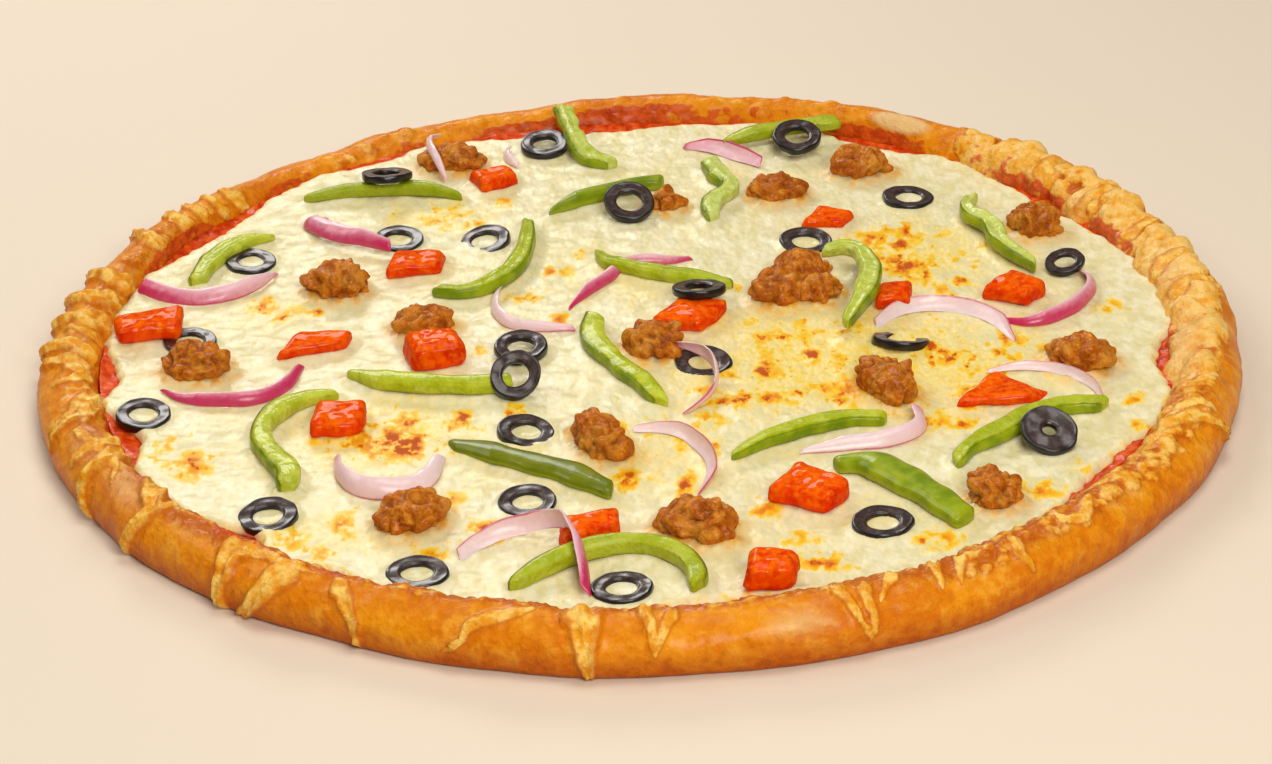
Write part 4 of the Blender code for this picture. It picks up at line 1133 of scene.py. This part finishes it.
def cheeseFinish():
    material, w = newFinish("melted cheese")
    toast = w.attribute("toast")
    yellow = w.attribute("yellow")
    oil = w.attribute("oil")
    deep = w.stretched(1, 0.6, 1)  # marks are longer front to back
    broad = w.noise(0.014, 3.0, 0.55, deep)
    mid = w.noise(0.0038, 3.0, 0.6, deep)
    specks = w.noise(0.0032, 2.0, 0.55, deep)
    fine = w.noise(0.0012, 3.0, 0.6, deep)
    ivory = mid.step(0.36, 0.64).mix(paint(222, 210, 156), paint(235, 226, 188))
    ivory = (broad.step(0.45, 0.68) * 0.35).mix(ivory, paint(228, 210, 148))
    gold = fine.step(0.35, 0.7).mix(paint(238, 206, 100), paint(244, 222, 146))
    warm = yellow * 1.1 + (mid - 0.5) * 1.4 + (broad - 0.5) * 1.0
    ground = (warm.step(0.25, 1.0) * 0.9).mix(ivory, gold)
    freckles = (specks - 0.5 + (fine - 0.5) * 0.35).step(0.08, 0.22) * (0.10 + yellow * 0.42)
    blots = w.noise(0.0060, 3.0, 0.5, deep).step(0.52, 0.68) * (yellow - 0.25).clamp() * 0.45
    size = w.noise(0.013, 2.0, 0.5).step(0.42, 0.62) * (yellow - 0.2).clamp()
    spots = (w.cells(0.0086, deep) - (mid - 0.5) * 0.7).step(0.42, 0.22) * size * (0.55 + mid)
    broken = (mid * 0.7 + specks * 0.3).step(0.41, 0.57)  # breaks a browned place up into marks
    heat = toast * (0.30 + broken * 0.58 + (specks - 0.5) * 0.5) + freckles + blots + spots * 0.85
    brown = heat.ramp(
        (0.0, 244, 218, 116), (0.34, 240, 200, 58), (0.54, 238, 178, 24),
        (0.74, 230, 146, 10), (0.88, 216, 112, 4), (1.0, 186, 80, 2))
    colour = heat.step(0.12, 0.40).mix(ground, brown)
    colour = (oil * (mid.step(0.38, 0.62) * 0.8 + 0.25)).clamp().mix(colour, paint(222, 158, 38))
    surface = w.noise(0.0034, 1.0, 0.4, deep) + w.noise(0.0017, 1.0, 0.4, deep) * 0.4
    body = soft(0.25, (0.004, 0.003, 0.0012), 0.7)
    coat = (1 - heat).clamp() * 0.2  # a browned place is dull
    return connected(material, body, gloss(coat, 0.16, 0.15, (1.0, 0.9, 0.7)), {
        "Base Color": colour, "Roughness": 0.32 + fine * 0.2 + heat.clamp() * 0.2,
        "Normal": w.bump(surface, 0.0011, 0.6)})


# The cheese climbs a little on whatever lies in it, and oil runs from the meat.
def toppingRise(points, toppings):
    spots = []
    for piece, climb, reach, oily in toppings:
        shape = pointsOf(piece)
        near = shape[shape[:, 2] < max(shape[:, 2].min() + 1.0 * mm, cheese["surface"] * mm)][::3]
        spots += [(x, y, climb, reach, oily) for x, y, z in near]
    tree = KDTree(len(spots))
    for index, spot in enumerate(spots):
        tree.insert((spot[0], spot[1], 0), index)
    tree.balance()
    rise = np.zeros(len(points))
    oil = np.zeros(len(points))
    for index, place in enumerate(points):
        found, away = tree.find(place)[1:]
        climb, reach, oily = spots[found][2:]
        if away < 3 * reach * mm:
            rise[index] = climb * math.exp(-(away / (reach * mm)) ** 2)
            oil[index] = oily * math.exp(-(away / (cheese["oilReach"] * mm)) ** 2)
    return rise, oil


def makeCheese(toppings):
    bpy.ops.object.select_all(action="DESELECT")
    bpy.ops.mesh.primitive_grid_add(x_subdivisions=cheese["cuts"], y_subdivisions=cheese["cuts"], size=2)
    piece = bpy.context.object
    points = pointsOf(piece)
    a, b = points[:, 0], points[:, 1]
    wide = np.abs(a) > np.abs(b)  # the square is drawn round, ring by ring
    size = np.where(wide, a, b)
    ratio = np.where(wide, b, a) / np.where(np.abs(size) < 1e-9, 1, size)
    turn = np.where(wide, math.pi / 4 * ratio, math.pi / 2 - math.pi / 4 * ratio)
    x = size * np.cos(turn)
    y = size * np.sin(turn)
    radius = np.hypot(x, y)
    angle = np.degrees(np.arctan2(y, x)) % 360
    ring = np.stack([np.cos(np.radians(angle)), np.sin(np.radians(angle)), 0 * angle], 1)
    rim = ring * (crust["recess"] - 0.5) * mm
    ragged = sum(amount * roughness(rim, size, seed) for amount, size, seed in cheese["ragged"])
    edge = cheese["edge"] - 1.35 * bareEdge(angle) + ragged
    even = cheese["edge"] * cheese["even"]
    out = np.where(radius < cheese["even"], radius * cheese["edge"],
                   even + (radius - cheese["even"]) / (1 - cheese["even"]) * (edge - even))
    x, y = out * ring[:, 0], out * ring[:, 1]
    flat = np.stack([x, y, 0 * x], 1) * mm
    rise, oil = toppingRise(flat, toppings)
    inward = edge - out  # mm from the sheet's own edge
    lip = np.exp(-((inward - 2.2) / 1.8) ** 2) * 0.2
    fall = np.clip(1 - inward / 2.2, 0, 1) ** 2 * 1.8
    height = cheeseWave(x, y)
    for amount, lump, seed in cheese["waves"]:
        height += amount * roughness(flat, lump, seed)
    height = height + rise + lip - fall
    toast = 0.3 * np.exp(-(inward / 3) ** 2)
    u = x + cheese["wander"] * roughness(flat, 7, 10)  # the browned places have wandering outlines
    v = y + cheese["wander"] * roughness(flat, 7, 11)
    for cx, cy, length, width, spin, strength in cheese["toast"]:
        c, s = math.cos(math.radians(spin)), math.sin(math.radians(spin))
        dx = ((u - cx) * c + (v - cy) * s) / (length * 0.95)
        dy = ((v - cy) * c - (u - cx) * s) / (width * 1.6)
        toast = np.maximum(toast, 1.15 * strength * np.exp(-1.2 * (dx * dx + dy * dy)))
    yellow = np.zeros(len(x))
    for cx, cy, length, width, strength in cheese["yellow"]:
        yellow = np.maximum(yellow, strength * np.exp(-(((x - cx) / length) ** 2 + ((y - cy) / width) ** 2)))
    height += 0.25 * np.clip(toast - 0.3, 0, 1)
    setPoints(piece, np.stack([x, y, height], 1) * mm)
    edit("EDGE", "DESELECT")
    bpy.ops.mesh.select_non_manifold()
    bpy.ops.mesh.extrude_region_move(TRANSFORM_OT_translate={"value": (0, 0, -cheese["thick"] * mm)})
    bpy.ops.mesh.edge_face_add()
    leaveEdit()
    extra = (0, len(piece.data.vertices) - len(x))  # the new underside stays plain
    setMasks(piece, toast=np.pad(toast, extra), yellow=np.pad(yellow, extra), oil=np.pad(oil, extra))
    return finished(piece, "cheese_sheet", cheeseFinish(), ["cheese"])


# Floor, light and camera

stage = {
    "floor": paint(228, 212, 190),
    "size": 6.0,
    "world": 0.16,
    # Soft lights that look at the middle: name, place, size, power, colour.
    "lights": [
        ("window", (-0.3, 0.95, 0.6), (0.6, 0.25), 4.3, (1, 0.98, 0.95)),
        ("left", (-0.9, 0.3, 0.9), (0.7, 0.5), 3.8, (1, 0.98, 0.94)),
        ("front", (0.3, -1.0, 0.8), (0.6, 0.5), 10.2, (1, 0.97, 0.92)),
        ("overhead", (0.2, 0.0, 1.3), (0.6, 0.6), 5.7, (1, 0.98, 0.95)),
    ],
}


def makeFloor():
    bpy.ops.object.select_all(action="DESELECT")
    bpy.ops.mesh.primitive_plane_add(size=stage["size"])
    floor = bpy.context.object
    floor.name = "floor"
    material = newFinish("pale floor")[0]
    floor.data.materials.append(connected(material, {"Base Color": stage["floor"], "Roughness": 0.7}))


def addLight(name, place, size, power, colour):
    data = bpy.data.lights.new(name, "AREA")
    data.shape = "RECTANGLE"
    data.size, data.size_y = size
    data.energy = power
    data.color = colour
    light = bpy.data.objects.new(name, data)
    bpy.context.scene.collection.objects.link(light)
    light.location = place
    light.rotation_euler = (Vector() - Vector(place)).to_track_quat("-Z", "Y").to_euler()


def makeStudio():
    world = bpy.context.scene.world or bpy.data.worlds.new("studio")
    bpy.context.scene.world = world
    world.use_nodes = True
    sky = world.node_tree.nodes["Background"]
    sky.inputs["Color"].default_value = (1.0, 0.97, 0.93, 1)
    sky.inputs["Strength"].default_value = stage["world"]
    for row in stage["lights"]:
        addLight(*row)
    view = bpy.context.scene.view_settings
    view.view_transform = "Standard"
    view.look = "None"
    view.exposure = 0.0


camera = {
    "distance": 1.1,
    "elevation": 27.476,
    "roll": -1.792,
    "target": (-0.661, -10.496, 0.0),
    "focal": 3750.38,  # in pixels of the 1272 wide picture
    "width": 1272,
    "sensor": 36.0,
}


def makeCamera():
    data = bpy.data.cameras.new("camera")
    eye = bpy.data.objects.new("camera", data)
    bpy.context.scene.collection.objects.link(eye)
    tip = math.radians(camera["elevation"])
    roll = math.radians(camera["roll"])
    back = Vector((0, -math.cos(tip), math.sin(tip)))
    across = Vector((1, 0, 0))
    up = Vector((0, math.sin(tip), math.cos(tip)))
    right = across * math.cos(roll) + up * math.sin(roll)
    upright = up * math.cos(roll) - across * math.sin(roll)
    matrix = Matrix((right, upright, back)).transposed().to_4x4()
    matrix.translation = Vector(camera["target"]) * mm + back * camera["distance"]
    eye.matrix_world = matrix
    data.sensor_width = camera["sensor"]
    data.lens = camera["sensor"] * camera["focal"] / camera["width"]
    data.clip_start = 0.01
    bpy.context.scene.camera = eye


makeCamera()
makeFloor()
makeStudio()
print("camera, floor and lights set")
toppings = [(piece, *pepper["grip"]) for piece in makePeppers()]
print("peppers made")
makeOnions()
print("onions made")
toppings += [(piece, *olive["grip"]) for piece in makeOlives()]
print("olives made")
toppings += [(piece, *tomato["grip"]) for piece in makeTomatoes()]
print("tomato made")
toppings += [(piece, *sausage["grip"]) for piece in makeSausages()]
print("sausage made")
makeSauce()
print("sauce made")
makeCrust()
print("crust made")
makeCheese(toppings)
print("cheese made")
